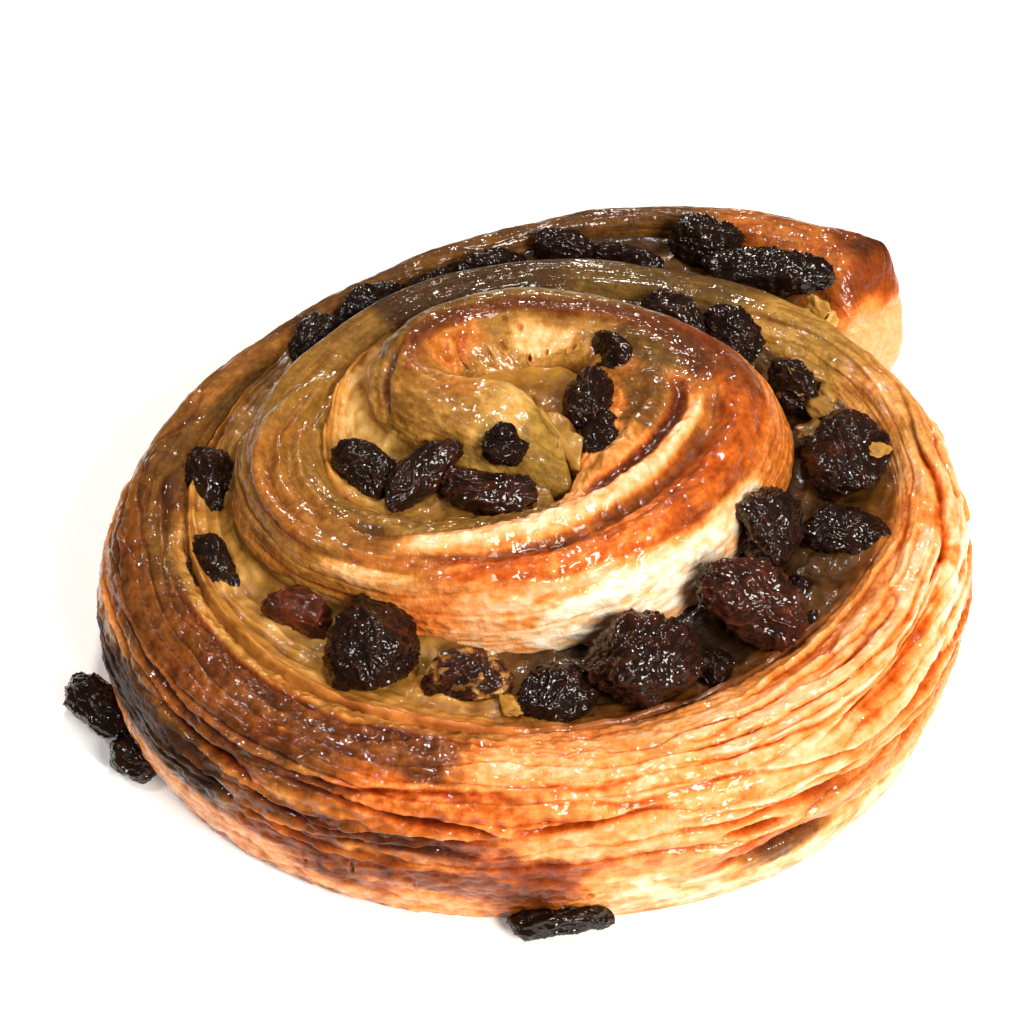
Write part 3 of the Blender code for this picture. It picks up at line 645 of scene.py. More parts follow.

# Bands of colour along the strip: (angle, across, half width), then browning, soaking by
# cream, and redness, with -1 for scorched. Some bands stand for painted light and shade, as marked.
bands = (
    # tail and back
    (((22, 3, 9), (66, 3, 9)), (0.54, 0, 0.5)),
    (((22, 4.5, 7), (38, 5, 5), (46, 6, 3)), (0.66, 0, 0.6)),
    (((20, 2.6, 5), (32, 2.6, 5)), (0.88, 0, 0.4)),
    (((30, 15, 7), (37, 15, 7)), (0.52, 0, 0.8)),
    (((60, 2, 9), (150, 2, 9)), (0.7, 0.3, 0)),
    (((58, 15, 7), (150, 15, 7)), (0.43, 0, 0.45)),
    # left
    (((150, -4, 2.6), (190, -4, 2.4)), (0.64, 0.7, 0)),
    (((150, -1, 1.8), (186, -1, 2)), (0.6, 0.1, 0.1)),
    (((170, 3, 3.6), (214, 2, 3.6)), (0.63, 0.05, 0.12)),
    (((196, 0.4, 4.4), (240, 0.4, 4.4), (268, 0.4, 4.4)), (0.69, 0, 0.22)),
    (((208, -2.8, 1.6), (240, -2.4, 1.8), (266, -2.6, 1.4)), (0.73, 0, 0.36)),
    (((222, 1.6, 1.5), (250, 1.8, 1.6), (268, 0.6, 1.4)), (0.68, 0, 0.4)),
    (((205, 5.6, 1.6), (240, 6.4, 1.8), (268, 7.4, 1.8)), (0.66, 0, 0.25)),
    # paler than the crust around it: painted light, where the wall lies in shade
    (((150, 9, 4), (196, 8, 4.4), (214, 8.6, 3.2), (228, 9.4, 2.4)), (0.42, 0, 0.32)),
    (((176, -3.6, 2.6), (196, -3.4, 3), (214, -3.2, 2.4)), (0.66, 0.3, 0.05)),
    (((204, 13.4, 3), (218, 12.6, 4.6), (236, 12.6, 3.8)), (0.86, 0, -0.35)),
    (((205, 21, 4.5), (236, 21, 4), (271, 21.6, 4)), (0.28, 0, 0.62)),
    (((238, 11.6, 1.6), (268, 11.2, 1.8)), (0.72, 0, 0.4)),
    # front
    (((263, 15, 6), (269, 16, 6), (275.5, 16, 5)), (0.58, 0, 0.9)),
    (((266.5, 22, 5), (273, 22, 5)), (0.74, 0, 0.4)),
    (((246, 19, 2.4), (254, 20, 2.4)), (0.62, 0, 0.5)),
    (((238, 15.6, 1.8), (252, 16.4, 2), (266, 17.2, 2.2)), (0.6, 0, 0.62)),
    (((276, 12, 3.6), (286, 12, 3.6)), (0.42, 0, 0.85)),
    # a pale spot on the front leaves: painted highlight
    (((268, 9.6, 3.2), (285, 9.6, 3.4)), (0.25, 0, 0.55)),
    (((277, 21, 6), (300, 21, 5), (318, 22, 4)), (0.16, 0, 0.25)),
    (((286, 17.6, 1.8), (298, 16.2, 1.8), (314, 16.4, 1.8)), (0.46, 0, 0.8)),
    (((292, 19.6, 1.8), (304, 19.6, 1.8)), (0.6, 0, 0.1)),
    (((262, 2, 7), (286, 1, 7)), (0.31, 0, 0.8)),
    (((250, 6, 3.4), (272, 6.4, 3)), (0.46, 0, 0.85)),
    (((287, 3, 9), (345, 3, 10)), (0.25, 0, 0.72)),
    (((326, 5, 5.5), (344, 5, 5.5)), (0.17, 0, 0.55)),
    (((300, 14, 3.4), (350, 14, 5)), (0.36, 0, 0.7)),
    (((300, -5.4, 2.2), (330, -5.8, 2.2), (346, -3, 2.4)), (0.36, 0, 0.85)),
    (((345, 16, 7), (390, 16, 8)), (0.54, 0, 0.35)),
    (((354, -2, 4), (380, -2, 5)), (0.41, 0.15, 0.3)),
    (((372, -2, 5), (400, -2, 6)), (0.42, 0.55, 0)),
    (((200, -7, 2.6), (236, -7, 2.6)), (0.42, 0.35, 0.1)),
    (((232, -7.5, 2.6), (268, -7.5, 2.8)), (0.46, 0.3, 0.2)),
    (((268, -8, 3.2), (345, -8.6, 3.4)), (0.36, 0.05, 0.65)),
    # rise, from the back round the left to the front
    # the back of the rise: olive from soaked cream, and darker as painted shade
    (((396, 0, 12), (500, 0, 12)), (0.61, 0.95, 0)),
    (((440, -1, 9), (520, -1, 8)), (0.8, 0.6, 0.05)),
    (((500, -4, 7), (552, -4, 7)), (0.52, 0.6, 0.1)),
    (((530, 6, 4), (552, 8, 5)), (0.56, 0.2, 0.15)),
    (((550, -1, 5), (600, 0, 3.4)), (0.55, 0.25, 0.18)),
    (((560, 2.6, 1.6), (586, 2.6, 1.6)), (0.58, 0, 0.2)),
    (((560, -6, 3), (600, -6, 3.2), (640, -8.4, 3.2)), (0.5, 0.6, 0.05)),
    (((560, 11, 5), (582, 11, 5)), (0.5, 0.1, 0.2)),
    (((590, -2.6, 1), (597, -2.6, 1)), (0.56, 0.8, 0)),
    (((604, -1, 1.2), (620, -3.2, 1.7), (655, -4.7, 1.7), (708, -4.4, 1.4)), (0.24, 0, 0.7)),
    (((604, 1.4, 1), (625, 0.2, 1), (655, -1.7, 1.3), (712, -2.2, 1.5)), (0.54, 0, 0.3)),
    (((594, 3.4, 1.8), (612, 2.6, 2)), (0.5, 0, 0.4)),
    (((612, 2.4, 2), (640, 2.6, 2.5), (722, 1.6, 3)), (0.5, 0, 0.9)),
    (((664, 3, 3), (690, 3, 4), (722, 2.6, 4.4)), (0.58, 0, 0.85)),
    (((590, 4.8, 1.2), (608, 4.6, 1.2)), (0.26, 0, 0.25)),
    (((602, 10, 5), (632, 10, 5)), (0.37, 0, 0.95)),
    (((616, 11, 5), (650, 11.2, 5.5)), (0.24, 0.05, 0.55)),
    (((631, 11.4, 4.6), (650, 11.6, 5.5), (694, 11, 5)), (0.06, 0.14, 0)),
    (((692, 9, 4), (740, 8, 4)), (0.42, 0, 0.65)),
    (((650, -7, 1.2), (716, -6.8, 1.3)), (0.66, 0, 0.5)),
    (((650, -10, 1.4), (690, -10.6, 1.4)), (0.44, 0.1, 0.3)),
    (((688, -11, 2.8), (724, -11, 2.8)), (0.62, 0.45, 0.1)),
    (((722, -6.6, 2.6), (756, -5.4, 2.4)), (0.62, 0.7, -0.1)),
    # crest and heart
    (((718, -1.6, 3), (760, -1.4, 2.2), (830, -1.4, 1.6), (896, -1.6, 1.7)), (0.76, 0, 0.4)),
    (((712, 2.4, 3), (745, 2.6, 2.4), (770, 2.8, 1.6)), (0.7, 0, 0.62)),
    (((750, 5, 5), (900, 5, 5)), (0.54, 0.8, 0)),
    (((756, -7.5, 4), (812, -7.5, 4.4), (866, -7.5, 4)), (0.43, 0.35, 0.1)),
    (((774, -6.6, 1.6), (800, -7, 2.2), (826, -6.4, 1.6)), (0.22, 0.4, 0.1)),
    (((848, -4.6, 2.2), (872, -5.6, 3), (894, -6, 3.4)), (0.46, 0, 0.45)),
    # tongue
    (((888, -1.6, 2.6), (918, -1.2, 2.4), (940, -1.2, 1.6)), (0.58, 0, 0.25)),
    (((905, -4.6, 2.4), (965, -4.6, 2.6), (1005, -4.4, 3)), (0.36, 0.55, 0)),
    (((905, -7.4, 1.2), (965, -7.6, 1.2)), (0.58, 0.85, 0)),
    (((892, 2, 3), (905, 5, 3)), (0.46, 0.5, 0.05)),
    (((908, 5, 6), (960, 5, 6)), (0.46, 0.42, 0.08)),
    (((955, 3, 9), (990, 3, 9)), (0.34, 0.7, 0)),
    (((982, 1, 12), (1005, 1, 12)), (0.46, 0.9, 0)),
)

baseTone = (
    # angle, browning, soaking, redness
    (30, 0.5, 0, 0.5), (62, 0.6, 0.1, 0.2), (90, 0.66, 0.3, 0), (150, 0.6, 0.2, 0),
    (200, 0.54, 0.1, 0.2), (240, 0.51, 0, 0.35), (270, 0.4, 0, 0.55), (300, 0.28, 0, 0.6),
    (345, 0.26, 0, 0.55), (372, 0.34, 0.15, 0.3), (392, 0.4, 0.7, 0), (450, 0.5, 0.9, 0),
    (550, 0.46, 0.6, 0), (585, 0.49, 0.3, 0.15), (620, 0.36, 0.05, 0.5), (700, 0.42, 0, 0.6),
    (745, 0.54, 0.4, 0.2), (800, 0.5, 0.5, 0.1), (890, 0.48, 0.4, 0.1), (1005, 0.48, 0.7, 0),
)


def stationColumns(rows, angle):
    # Each column of a table after its first, read at the angles and held beyond its ends.
    table = np.array(rows, float)
    return [between(table[:, (0, k)], angle)[col] for k in range(1, table.shape[1])]


def endFade(rows, angle, reach):
    # 1 between the first and last angle of a table, and 0 beyond a short reach in degrees.
    starting, ending = [eased(angle, at - reach / 2, at + reach / 2)[col]
                        for at in (rows[0][0], rows[-1][0])]
    return starting * (1 - ending)


def leafRelief(along, across, pitch, bends, seed):
    # Leaves side by side along the strip. Each starts at a proud lip and slopes down across
    # by 1 - 0.7 f^1.4, with its own height, and between two of them runs a groove that opens
    # into lens-shaped gaps.
    bent = across.copy()
    for number, (height, longWay, shortWay) in enumerate(bends):
        bent += height * noiseAt(along / longWay, across / shortWay, 0.5, seed + number)
    q = bent / pitch
    row = np.floor(q)
    f = q - row
    arch = eased(f, 0, 0.16) * (1 - 0.7 * f ** 1.4)
    swell = dough["leafSwell"] * pitch / dough["pitch"]
    heights = [rowNoise(along / swell, row + k, seed + 7) for k in (-1, 0, 1)]
    low, high = 0.5 - 0.5 * eased(f, 0, 0.12), 0.5 * eased(f, 0.9, 1)
    own = heights[1] * (1 - low - high) + heights[0] * low + heights[2] * high
    edge = np.round(q)
    opening = eased(rowNoise(along / dough["gapLength"], edge, seed + 8), 0.12, 0.7)
    distance = np.abs(q - edge) * pitch
    groove = opening * np.exp(-(distance / (dough["gapWidth"] * (0.6 + 1.3 * opening))) ** 2)
    return arch, own, groove


# Noise along and across the strip: length and width of its spots in mm, layer, seed.
dapples = {
    "puff": (4.2, 1.9, 0.4, 77),
    "bubble": (1.7, 1.4, 0.3, 71),
    "smallBubble": (0.9, 0.8, 0.7, 72),
    "swelling": (14, 6, 0.5, 73),
    "slowWobble": (5, 9, 0.5, 74),
    "quickWobble": (1.5, 6, 0.2, 76),
    "foldSwing": (6, 1, 0.5, 78),
    "lipSwing": (6, 1, 0.5, 79),
    "lipHeight": (8, 1, 0.5, 80),
    "streakBend": (5, 4, 0.5, 87),
    "streak": (3.2, 8, 0.2, 75),
    "slowWander": (9, 4, 0.5, 81),
    "quickWander": (2.5, 1.5, 0.5, 82),
    "blot": (3.6, 2.4, 0.5, 88),
    "smallBlot": (1.3, 1, 0.5, 89),
    "patch": (4.5, 2.5, 0.5, 83),
    "fleck": (1.6, 1.1, 0.5, 84),
    "blush": (6, 4, 0.5, 85),
}


def dapple(name, along, across):
    # The named noise, at lengths in mm along and across the strip.
    longWay, shortWay, layer, seed = dapples[name]
    return noiseAt(along / longWay, across / shortWay, layer, seed)


def doughRelief(angle, along, across, height, here):
    # Height of the relief in mm; painted shade from 0 to 1 in its gaps, grooves and pits and under
    # its lips and folds; and how much browner or paler each point is: each leaf's own tone and
    # darker streaks in the crimped skin, with raised leaf tops, puffs, lips, folds and bubbles
    # painted paler as light. First the leaves of the lamination.
    leaf, fine, bump = stationColumns(dough["amounts"], angle)
    leaf = leaf * (0.3 + 0.7 * eased(across, *dough["creamEdge"])) * (
        1 - 0.75 * eased(across, *dough["baseEdge"]))
    arch, own, groove = leafRelief(along, across, dough["pitch"], dough["bends"], dough["seed"])
    puff = dapple("puff", along, across)
    relief = leaf * (dough["leafStep"] * own + dough["leafArch"] * (arch - 0.6)
                     + dough["puffHeight"] * puff - dough["gapDepth"] * groove)
    # Painted shade in the grooves and low under each lip; raised leaf tops and puffs painted paler as
    # light, each leaf with its own tone.
    gap = leaf * (0.8 * groove + 0.7 * np.clip(0.42 - arch, 0, 1))
    tint = leaf * (0.07 * own - 0.1 * (arch - 0.6) - 0.06 * puff)

    # Finer leaves with painted shade in their grooves, bubbles in the skin and a slow swelling.
    arch, own, groove = leafRelief(along, across + 0.4 * own, dough["finePitch"],
                                   dough["fineBends"], dough["seed"] + 40)
    relief += fine * (0.06 * own + 0.07 * arch - 0.12 * groove)
    gap += fine * 0.22 * groove
    tint += fine * 0.04 * own
    bubbles = 0.6 * dapple("bubble", along, across) + 0.4 * dapple("smallBubble", along, across)
    relief += bump * dough["bubbleHeight"] * bubbles
    # Raised bubbles are painted paler: painted light.
    tint -= bump * 0.07 * bubbles
    relief += 0.35 * dapple("swelling", along, across)

    # Each fold is tall * exp(-|away / half|^2.4); below 0 it gets painted shade, raised it is painted
    # paler as light.
    wobble = 0.22 * dapple("slowWobble", along, across) + 0.12 * dapple("quickWobble", along, across)
    for number, stations in enumerate(folds):
        place, tall, half = stationColumns(stations, angle)
        swing = 0.3 * dapple("foldSwing", along[:, :1], 5.3 * number)
        away = (across - place + wobble + swing) / np.maximum(half, 0.1)
        push = tall * endFade(stations, angle, dough["foldFade"]) * np.exp(-np.abs(away) ** 2.4)
        relief += push
        gap += np.clip(-push, 0, 1.2) * np.clip(1.1 - 0.6 * half, 0.3, 0.8)
        tint -= 0.05 * np.clip(push, 0, 1)

    # Each lip rises by exp(-(below / 0.55)^2), then steps down and fills again. The lip is painted
    # paler as light, and the step below it gets painted shade.
    for number, stations in enumerate(lips):
        place, tall = stationColumns(stations, angle)
        tall = np.clip(tall, 0, 2) * endFade(stations, angle, dough["foldFade"])
        swing = 0.55 * dapple("lipSwing", along[:, :1], 5.3 * number)
        tall = tall * (1 + 0.5 * dapple("lipHeight", along[:, :1], 5.3 * number))
        below = across - place + wobble + swing
        step = eased(below, -0.1, 0.16) * np.exp(-np.maximum(below, 0) / dough["lipDecay"])
        lip = np.exp(-(np.minimum(below, 0) / 0.55) ** 2) * (below < 0.1)
        relief += tall * (0.4 * lip - 1.2 * step)
        gap += tall * 0.8 * np.exp(-((below - 0.4) / 0.4) ** 2)
        tint -= 0.14 * tall * lip

    # Each pit is an oval dent with a low rim, with painted shade in its hollow.
    for spot, place, deep, halfLength, halfWidth in pits:
        rows = np.abs(angle - spot) < dough["pitReach"]
        away = (((along[rows] - alongAt(spot)) / halfLength) ** 2
                + ((across[rows] - place) / halfWidth) ** 2)
        rim = np.exp(-(np.sqrt(away) - 1.6) ** 2 / 0.2)
        relief[rows] += deep * (0.35 * rim - np.exp(-away))
        gap[rows] += 0.5 * deep * np.exp(-away)

    # The crimped skin low on the front left, then no relief where the strip is hidden.
    first, last = dough["crimped"]
    crimp = eased(angle, *first)[col] * (1 - eased(angle, *last)[col]) * eased(across, 10, 13)
    streaks = dapple("streak", along + 1.6 * dapple("streakBend", along, across), across)
    relief += crimp * 0.16 * streaks
    tint += crimp * 0.26 * np.clip(-streaks - 0.05, 0, 0.6)
    free = 1 - here.enclosed[col]
    sideHeight, level = here.sideHeight[col], here.level[col]
    floorFade = eased(height, 0.0, 1.6) * free + (1 - free) * eased(
        height, sideHeight - 6, sideHeight - 1)
    fade = np.where(across > 0, floorFade, eased(height, level - 0.1, level + 1.2))
    return relief * fade, np.clip(gap, 0, 1), tint


def doughTone(angle, along, across, tint):
    # Browning, soaking and redness at each point: a base for each angle, then soft bands over it,
    # their edges moved by slow noise, then blots on the pale skin and fine patches, and last the
    # relief's tint with its painted light and shade. A few bands are painted light and shade too.
    tone = [values + 0 * across for values in stationColumns(baseTone, angle)]
    wander = 0.7 * dapple("slowWander", along, across) + 0.35 * dapple("quickWander", along, across)
    for stations, target in bands:
        place, half = stationColumns(stations, angle)
        away = (across - place + wander * np.minimum(1, half / 2)) / half
        weight = endFade(stations, angle, dough["bandFade"]) * (1 - eased(np.abs(away), 0.6, 1.3))
        tone = [value + (wanted - value) * weight for value, wanted in zip(tone, target)]
    browning, soaking, redness = tone
    pale = 1 - eased(browning, 0.12, 0.34)
    blot = dapple("blot", along, across) + 0.5 * dapple("smallBlot", along, across)
    browning = browning + 0.26 * pale * np.clip(blot, -0.15, 0.7)
    redness = redness + 0.9 * pale * np.clip(blot, 0, 0.7)
    patch = 0.06 * dapple("patch", along, across)
    browning = browning + patch + 0.03 * dapple("fleck", along, across) + tint
    redness = redness + 0.15 * dapple("blush", along, across)
    return np.stack([np.clip(browning, 0, 1), np.clip(soaking, 0, 1), np.clip(redness, -1, 1)], -1)


def gridNormals(points):
    # Unit cross products of the steps along and across a grid.
    normal = np.cross(np.gradient(points, axis=0), np.gradient(points, axis=1))
    return normal / (np.linalg.norm(normal, axis=-1, keepdims=True) + 1e-12)


def doughGrid(angle):
    # The strip's outline at each angle, pushed along its normals by the relief. Where the
    # outer wall goes behind the turn outside it, little of it is kept.
    kept = eased(angle, *dough["wallHides"])
    start = dough["wholeWall"] + (dough["keptBelowSide"] - dough["wholeWall"]) * kept
    here, r, z, across = outlineAt(angle, dough["pointsAcross"], start)
    along = alongAt(angle)[col] + 0 * across
    points = placed(angle[col] + 0 * r, r, z)
    relief, gap, tint = doughRelief(angle, along, across, z, here)
    points = points + gridNormals(points) * (relief * mm)[..., None]
    tailEnd = dough["tailDrawnIn"] * (1 - eased(angle, *dough["tailAngles"]))
    drawnIn = tailEnd[col] * (1 - eased(z, *dough["tailHeights"])) * (across > 4)
    turn = np.radians(angle)[col]
    points[..., :2] -= (drawnIn * mm)[..., None] * np.stack([np.cos(turn), np.sin(turn)], -1)
    points[..., 2] = np.maximum(points[..., 2], 0)
    tone = doughTone(angle, along, across, tint)
    # Three more points close the ring: the trough's corner, the inner foot, the outer foot.
    closing = [(here.corner, here.cornerHeight), (here.innerFoot, 0 * angle),
               (here.foot - 1 + kept - tailEnd, 0 * angle)]
    extra = [placed(angle, radius, height) for radius, height in closing]
    points = np.concatenate([points, np.stack(extra, 1)], 1)
    ends = ((0, 0), (0, len(extra)))
    tone = np.pad(tone, (*ends, (0, 0)), mode="edge")
    gap, across, along = [np.pad(values, ends, mode="edge") for values in (gap, across, along)]
    middle = placed(angle, (here.foot + here.innerFoot) / 2, 8 + 0 * angle)
    return points, tone, gap, along, across, middle


def pillowCap(ring, center, outward, isTail):
    # Rings that shrink to the middle by cos(t)^0.6 while they rise by bulge * sin(t)^0.8,
    # and their tone. The tail's cut has a swollen lower part under a drawn-in groove.
    name = "tail" if isTail else "tip"
    bulge = dough[name + "Bulge"] * mm
    t = np.linspace(0, math.pi / 2, dough[name + "Rings"] + 1)[1:-1, None, None]
    rings = center + (ring - center) * np.cos(t) ** 0.6 + outward * bulge * np.sin(t) ** 0.8
    inward = np.linspace(0, 1, len(rings))[:, None]
    tone = np.array(dough[name + "Tone"])
    if isTail:
        away = noiseAt(*np.moveaxis(rings / mm / 3, -1, 0), 86)
        level = rings[..., 2] / mm + 1.5 * away
        high = eased(level, *dough["tailGroove"])[..., None]
        groove = np.exp(-((level - dough["tailGroove"][0]) / 1.3) ** 2) * inward
        swell = (1.4 * (1 - high[..., 0]) + 0.6 * away) * inward - 1.5 * groove
        rings = rings + outward * (swell * mm)[..., None]
        tone = tone * (1 - high) + np.array(dough["tailTopTone"]) * high
    return rings, center + outward * bulge, inward, tone


def makeDoughPiece(name, first, last, sections, material):
    # A ring of points for each section, and at each end a cap, where the strip ends, or a
    # fan to the middle, where the next piece goes on. One more section beyond each end
    # gives neighbouring pieces the same normals where they meet.
    angle = angleAt(np.linspace(alongAt(first), alongAt(last), sections))
    wide = np.concatenate([[2 * angle[0] - angle[1]], angle, [2 * angle[-1] - angle[-2]]])
    grids = doughGrid(wide)
    normals = gridNormals(grids[0])
    points, tone, gap, along, across, middle = [values[1:-1] for values in grids]
    columns = points.shape[1]
    uv = np.stack([along, across + dough["mapOffset"]], -1) / uvSpan
    faces = [gridQuads(sections, columns, closedColumns=True)]
    blocks, tones, gaps, maps = [[values.reshape(sections * columns, -1)]
                                 for values in (points, tone, gap, uv)]
    total = sections * columns
    for row, side, isEnd in ((0, -1, first == swirl["tailAngle"]),
                             (sections - 1, 1, last == swirl["tipAngle"])):
        center = middle[row]
        ring = row * columns + np.arange(columns)
        if isEnd:
            outward = side * (middle[min(row + 1, sections - 1)] - middle[max(row - 1, 0)])
            outward[2] = 0
            outward = outward / np.linalg.norm(outward)
            rings, center, inward, endTone = pillowCap(points[row], center, outward, side == -1)
            count = len(rings)
            grown = np.concatenate([ring, total + np.arange(count * columns)])
            quads = grown[gridQuads(count + 1, columns, closedColumns=True)]
            faces.append(quads if side == 1 else quads[:, ::-1])
            share = eased(inward, 0.0, 0.45)[..., None]
            blocks.append(rings.reshape(-1, 3))
            tones.append((tone[row] * (1 - share) + endTone * share).reshape(-1, 3))
            # The painted crease shade fades out over the cap.
            gaps.append((gap[row] * (1 - inward)).reshape(-1, 1))
            maps.append(np.tile(uv[row], (count, 1)))
            ring = grown[-columns:]
            total += count * columns
        fan = np.stack([ring, np.roll(ring, -1), np.full(columns, total)], 1)
        faces.append(fan if side == -1 else fan[:, ::-1])
        blocks.append(center[None])
        for values in (tones, gaps, maps):
            values.append(values[-1][-1:])
        total += 1
    kept = np.zeros((total, 3))
    if first > swirl["tailAngle"]:
        kept[:columns] = normals[1]
    if last < swirl["tipAngle"]:
        kept[(sections - 1) * columns:sections * columns] = normals[-2]
    # gap carries the painted crease shade to the crust.
    makePiece(name, np.concatenate(blocks), faces, material, ["dough"],
              {"baked": np.concatenate(tones), "gap": np.concatenate(gaps)[:, 0]},
              np.concatenate(maps), kept)


crustMaterial = makeCrustMaterial()
for name, first, last, sections in dough["pieces"]:
    makeDoughPiece(name, first, last, sections, crustMaterial)
print("dough done")


raisins = {
    # angle, distance from the pole, height of the middle, length, width, depth, swing of the
    # long axis out of the channel's direction, tilt, as in the source
    "places": (
        (58, 51.6, 22.3, 11, 8.5, 6.5, 25, 0),
        (44, 50.3, 22.3, 18.5, 8, 7, 34, 0),
        (84, 43, 21, 9.5, 5.5, 5.5, 0, 0),
        (69.5, 43.3, 20.3, 10.5, 5, 5, 8, 0),
        (99, 38.8, 21, 11, 5.5, 6, 0, 0),
        (113.5, 36.9, 20.5, 8, 4.6, 5, 0, 0),
        (130, 37.2, 21, 11, 6, 6.5, 0, 0),
        (148, 38.3, 20.5, 9.5, 6.5, 6.5, 0, 0),
        (191, 45, 20, 10.5, 6.8, 6.5, 0, 0),
        (210.5, 47.9, 20, 8.2, 5.6, 6, 0, 0),
        (228.5, 44.2, 20.5, 8, 5, 6, 20, 10),
        (243.5, 44.6, 22, 13, 10.2, 9.5, -50, 0),
        (260, 44.2, 19.8, 9.5, 7.4, 5.5, 0, 0),
        (273.3, 46.2, 20.2, 9.5, 7.2, 6, 0, 0),
        (287, 45.4, 23, 14, 11, 10, 5, 0),
        (298, 47.4, 19.3, 6.5, 5.5, 5, 60, 0),
        (308.5, 43.6, 24, 13.6, 9.6, 9, -75, 12),
        (324.6, 37.6, 24, 10.6, 8.4, 9.2, 40, 0),
        (351, 43.4, 22.3, 13.4, 10.6, 9.5, 20, 0),
        (335, 45.6, 20.6, 10.8, 6.6, 6.5, -60, 0),
        (321.5, 44.2, 18.4, 4.6, 4, 4, 0, 0),
        (316, 48.6, 19, 4.4, 3.2, 3.4, 0, 0),
        (10, 37.6, 24.2, 10.4, 7.2, 7.2, 0, 0),
        (27.5, 32.6, 25.5, 10.6, 7.2, 7.2, 0, 0),
        (45, 29.2, 25.8, 10.5, 5.2, 6, 0, 0),
        (26, 12.2, 29.5, 6.6, 5.2, 6.4, 20, 0),
        (350, 8.2, 28.6, 8.6, 6.8, 6.4, 0, 0),
        (318, 13.5, 27.8, 7.2, 5.2, 5.6, 30, 0),
        (211.5, 26, 27, 8.6, 6.8, 6.5, 20, 0),
        (228.2, 21.5, 28.4, 12, 5, 5, 82, -14),
        (255, 19, 27.8, 12.4, 6.4, 5.4, 8, 0),
        (257, 14.2, 31.8, 5.6, 4.2, 6, 0, 0),
        (212, 67, 3.8, 12, 6, 5.4, 12, 0),
        (219.5, 66.6, 3, 5.4, 4.6, 4.4, 0, 0),
        (273, 66.4, 2.6, 11, 5, 4.4, 0, 0),
    ),
    "sides": 120,
    "rings": 74,
    "growth": 1.2,
    # number: growth of one that shows more than its solid
    "growths": {25: 1.6, 9: 1.45, 31: 1.35, 26: 1.3, 27: 1.35, 8: 1.3, 33: 1.45},
    "facets": 9,
    "facetReach": (0.66, 1),   # nearest and farthest flat side, as a share of the oval's radius
    "folds": 5,
    "foldDepth": 0.12,
    "seed": 23,
    "wrinkleSize": 1.6,      # mm
    "wrinkleHeight": 0.5,    # mm
    "warp": 1.1,             # mm that the wrinkles wander
    "warpSize": 2.6,         # mm
    "patchSize": 5.0,        # mm
    "dentSize": 3.4,         # mm
    "dentDepth": 0.6,        # mm
    "bend": 0.10,            # of the width
    # number: bend of a curled one
    "bends": {10: 0.5, 24: 0.25, 29: 0.45, 30: -0.30},
    # number: sharpness at the top of one that ends in a peak
    "peaks": {25: 0.45, 31: 0.9, 22: 0.3, 9: 0.35},
    # number: tint from black to red-brown, share of the skin smeared with cream
    "tints": {8: (0.25, 0), 10: (0.95, 0.1), 11: (0.3, 0), 12: (0.62, 0.46), 13: (0.15, 0.1),
              14: (0.42, 0.16), 16: (0.66, 0.14), 17: (0.35, 0.2), 18: (0.35, 0.16), 22: (0.2, 0.3),
              23: (0.2, 0.05), 24: (0.35, 0), 25: (0.3, 0), 26: (0.3, 0), 29: (0.42, 0),
              30: (0.5, 0.12)},
    "plainTint": (0.1, 0),
    "hexPlaces": (0, 0.35, 0.6, 0.85, 1),
    "hexes": ("#080302", "#1e0d08", "#3f1b0e", "#672d18", "#8f4926"),
    "smearPlaces": (0.3, 0.5, 0.7),
    "smearHexes": ("#6e4218", "#b27a36", "#e2bc78"),
    "mottleSize": 2.2,       # mm
    "smearSize": 1.6,        # mm
    "grainSize": 0.4,        # mm
    "dropSize": 1.1,         # mm
    "offTable": 0.05,        # mm
}


def polePoint(angle, radius):
    # x and y in mm of a point at an angle and a distance from the pole.
    turn = math.radians(angle)
    return swirl["poleX"] + radius * math.cos(turn), swirl["poleY"] + radius * math.sin(turn)


def turned(points, turn, first=0, second=1):
    # Points turned in the plane of two axes: a cos t - b sin t, and a sin t + b cos t.
    a, b = points[:, first], points[:, second]
    out = points.copy()
    out[:, first] = a * math.cos(turn) - b * math.sin(turn)
    out[:, second] = a * math.sin(turn) + b * math.cos(turn)
    return out


def ball(rings, sides):
    # Directions on rings from the +x pole to the -x pole, then the poles themselves, with
    # the faces between the rings and the fans round both poles.
    v = np.linspace(0, math.pi, rings + 2)[1:-1, None]
    a = np.linspace(0, 2 * math.pi, sides, endpoint=False)[None]
    direction = np.stack([np.cos(v) + 0 * a, np.sin(v) * np.cos(a), np.sin(v) * np.sin(a)], -1)
    direction = np.concatenate([direction.reshape(-1, 3), [[1.0, 0, 0], [-1.0, 0, 0]]])
    first = np.arange(sides)
    last = (rings - 1) * sides + first
    start = np.stack([np.full(sides, rings * sides), first, np.roll(first, -1)], 1)
    end = np.stack([np.full(sides, rings * sides + 1), np.roll(last, -1), last], 1)
    return direction, [gridQuads(rings, sides, closedColumns=True), start, end]


def makeRaisinMaterial():
    # Dried grape under sugar syrup: a dark wrinkled skin with a wet clear coat, whose
    # highlights break up into fine bright lines along the wrinkles.
    material, shader, place = newMaterial("glazedRaisinSkin")
    shade, smeared = attributeParts(material, "skin")[:2]
    mottle = addNoise(material, place, raisins["mottleSize"], 3)
    tone = addRamp(material, addMath(material, "MULTIPLY_ADD", mottle, 0.35, shade),
                   raisins["hexPlaces"], raisins["hexes"])
    smear = addMath(material, "ADD", addNoise(material, place, raisins["smearSize"], 2), smeared)
    creamy = addRamp(material, mottle, raisins["smearPlaces"], raisins["smearHexes"])
    grain = addNoise(material, place, raisins["grainSize"], 2)
    drops = addNoise(material, place, raisins["dropSize"], 1)
    fillInputs(material, shader, {
        "Base Color": addMix(material, addRange(material, smear, 0.93, 1.1), tone, creamy),
        "Roughness": 0.5,
        "IOR": 1.45,
        "Specular IOR Level": 0.05,
        "Normal": addBump(material, grain, 0.5, 0.16),
        "Coat Weight": 0.8,
        "Coat Roughness": 0.03,
        "Coat IOR": 1.42,
        "Coat Normal": addBump(material, drops, 0.7, 0.5),
    })
    return material


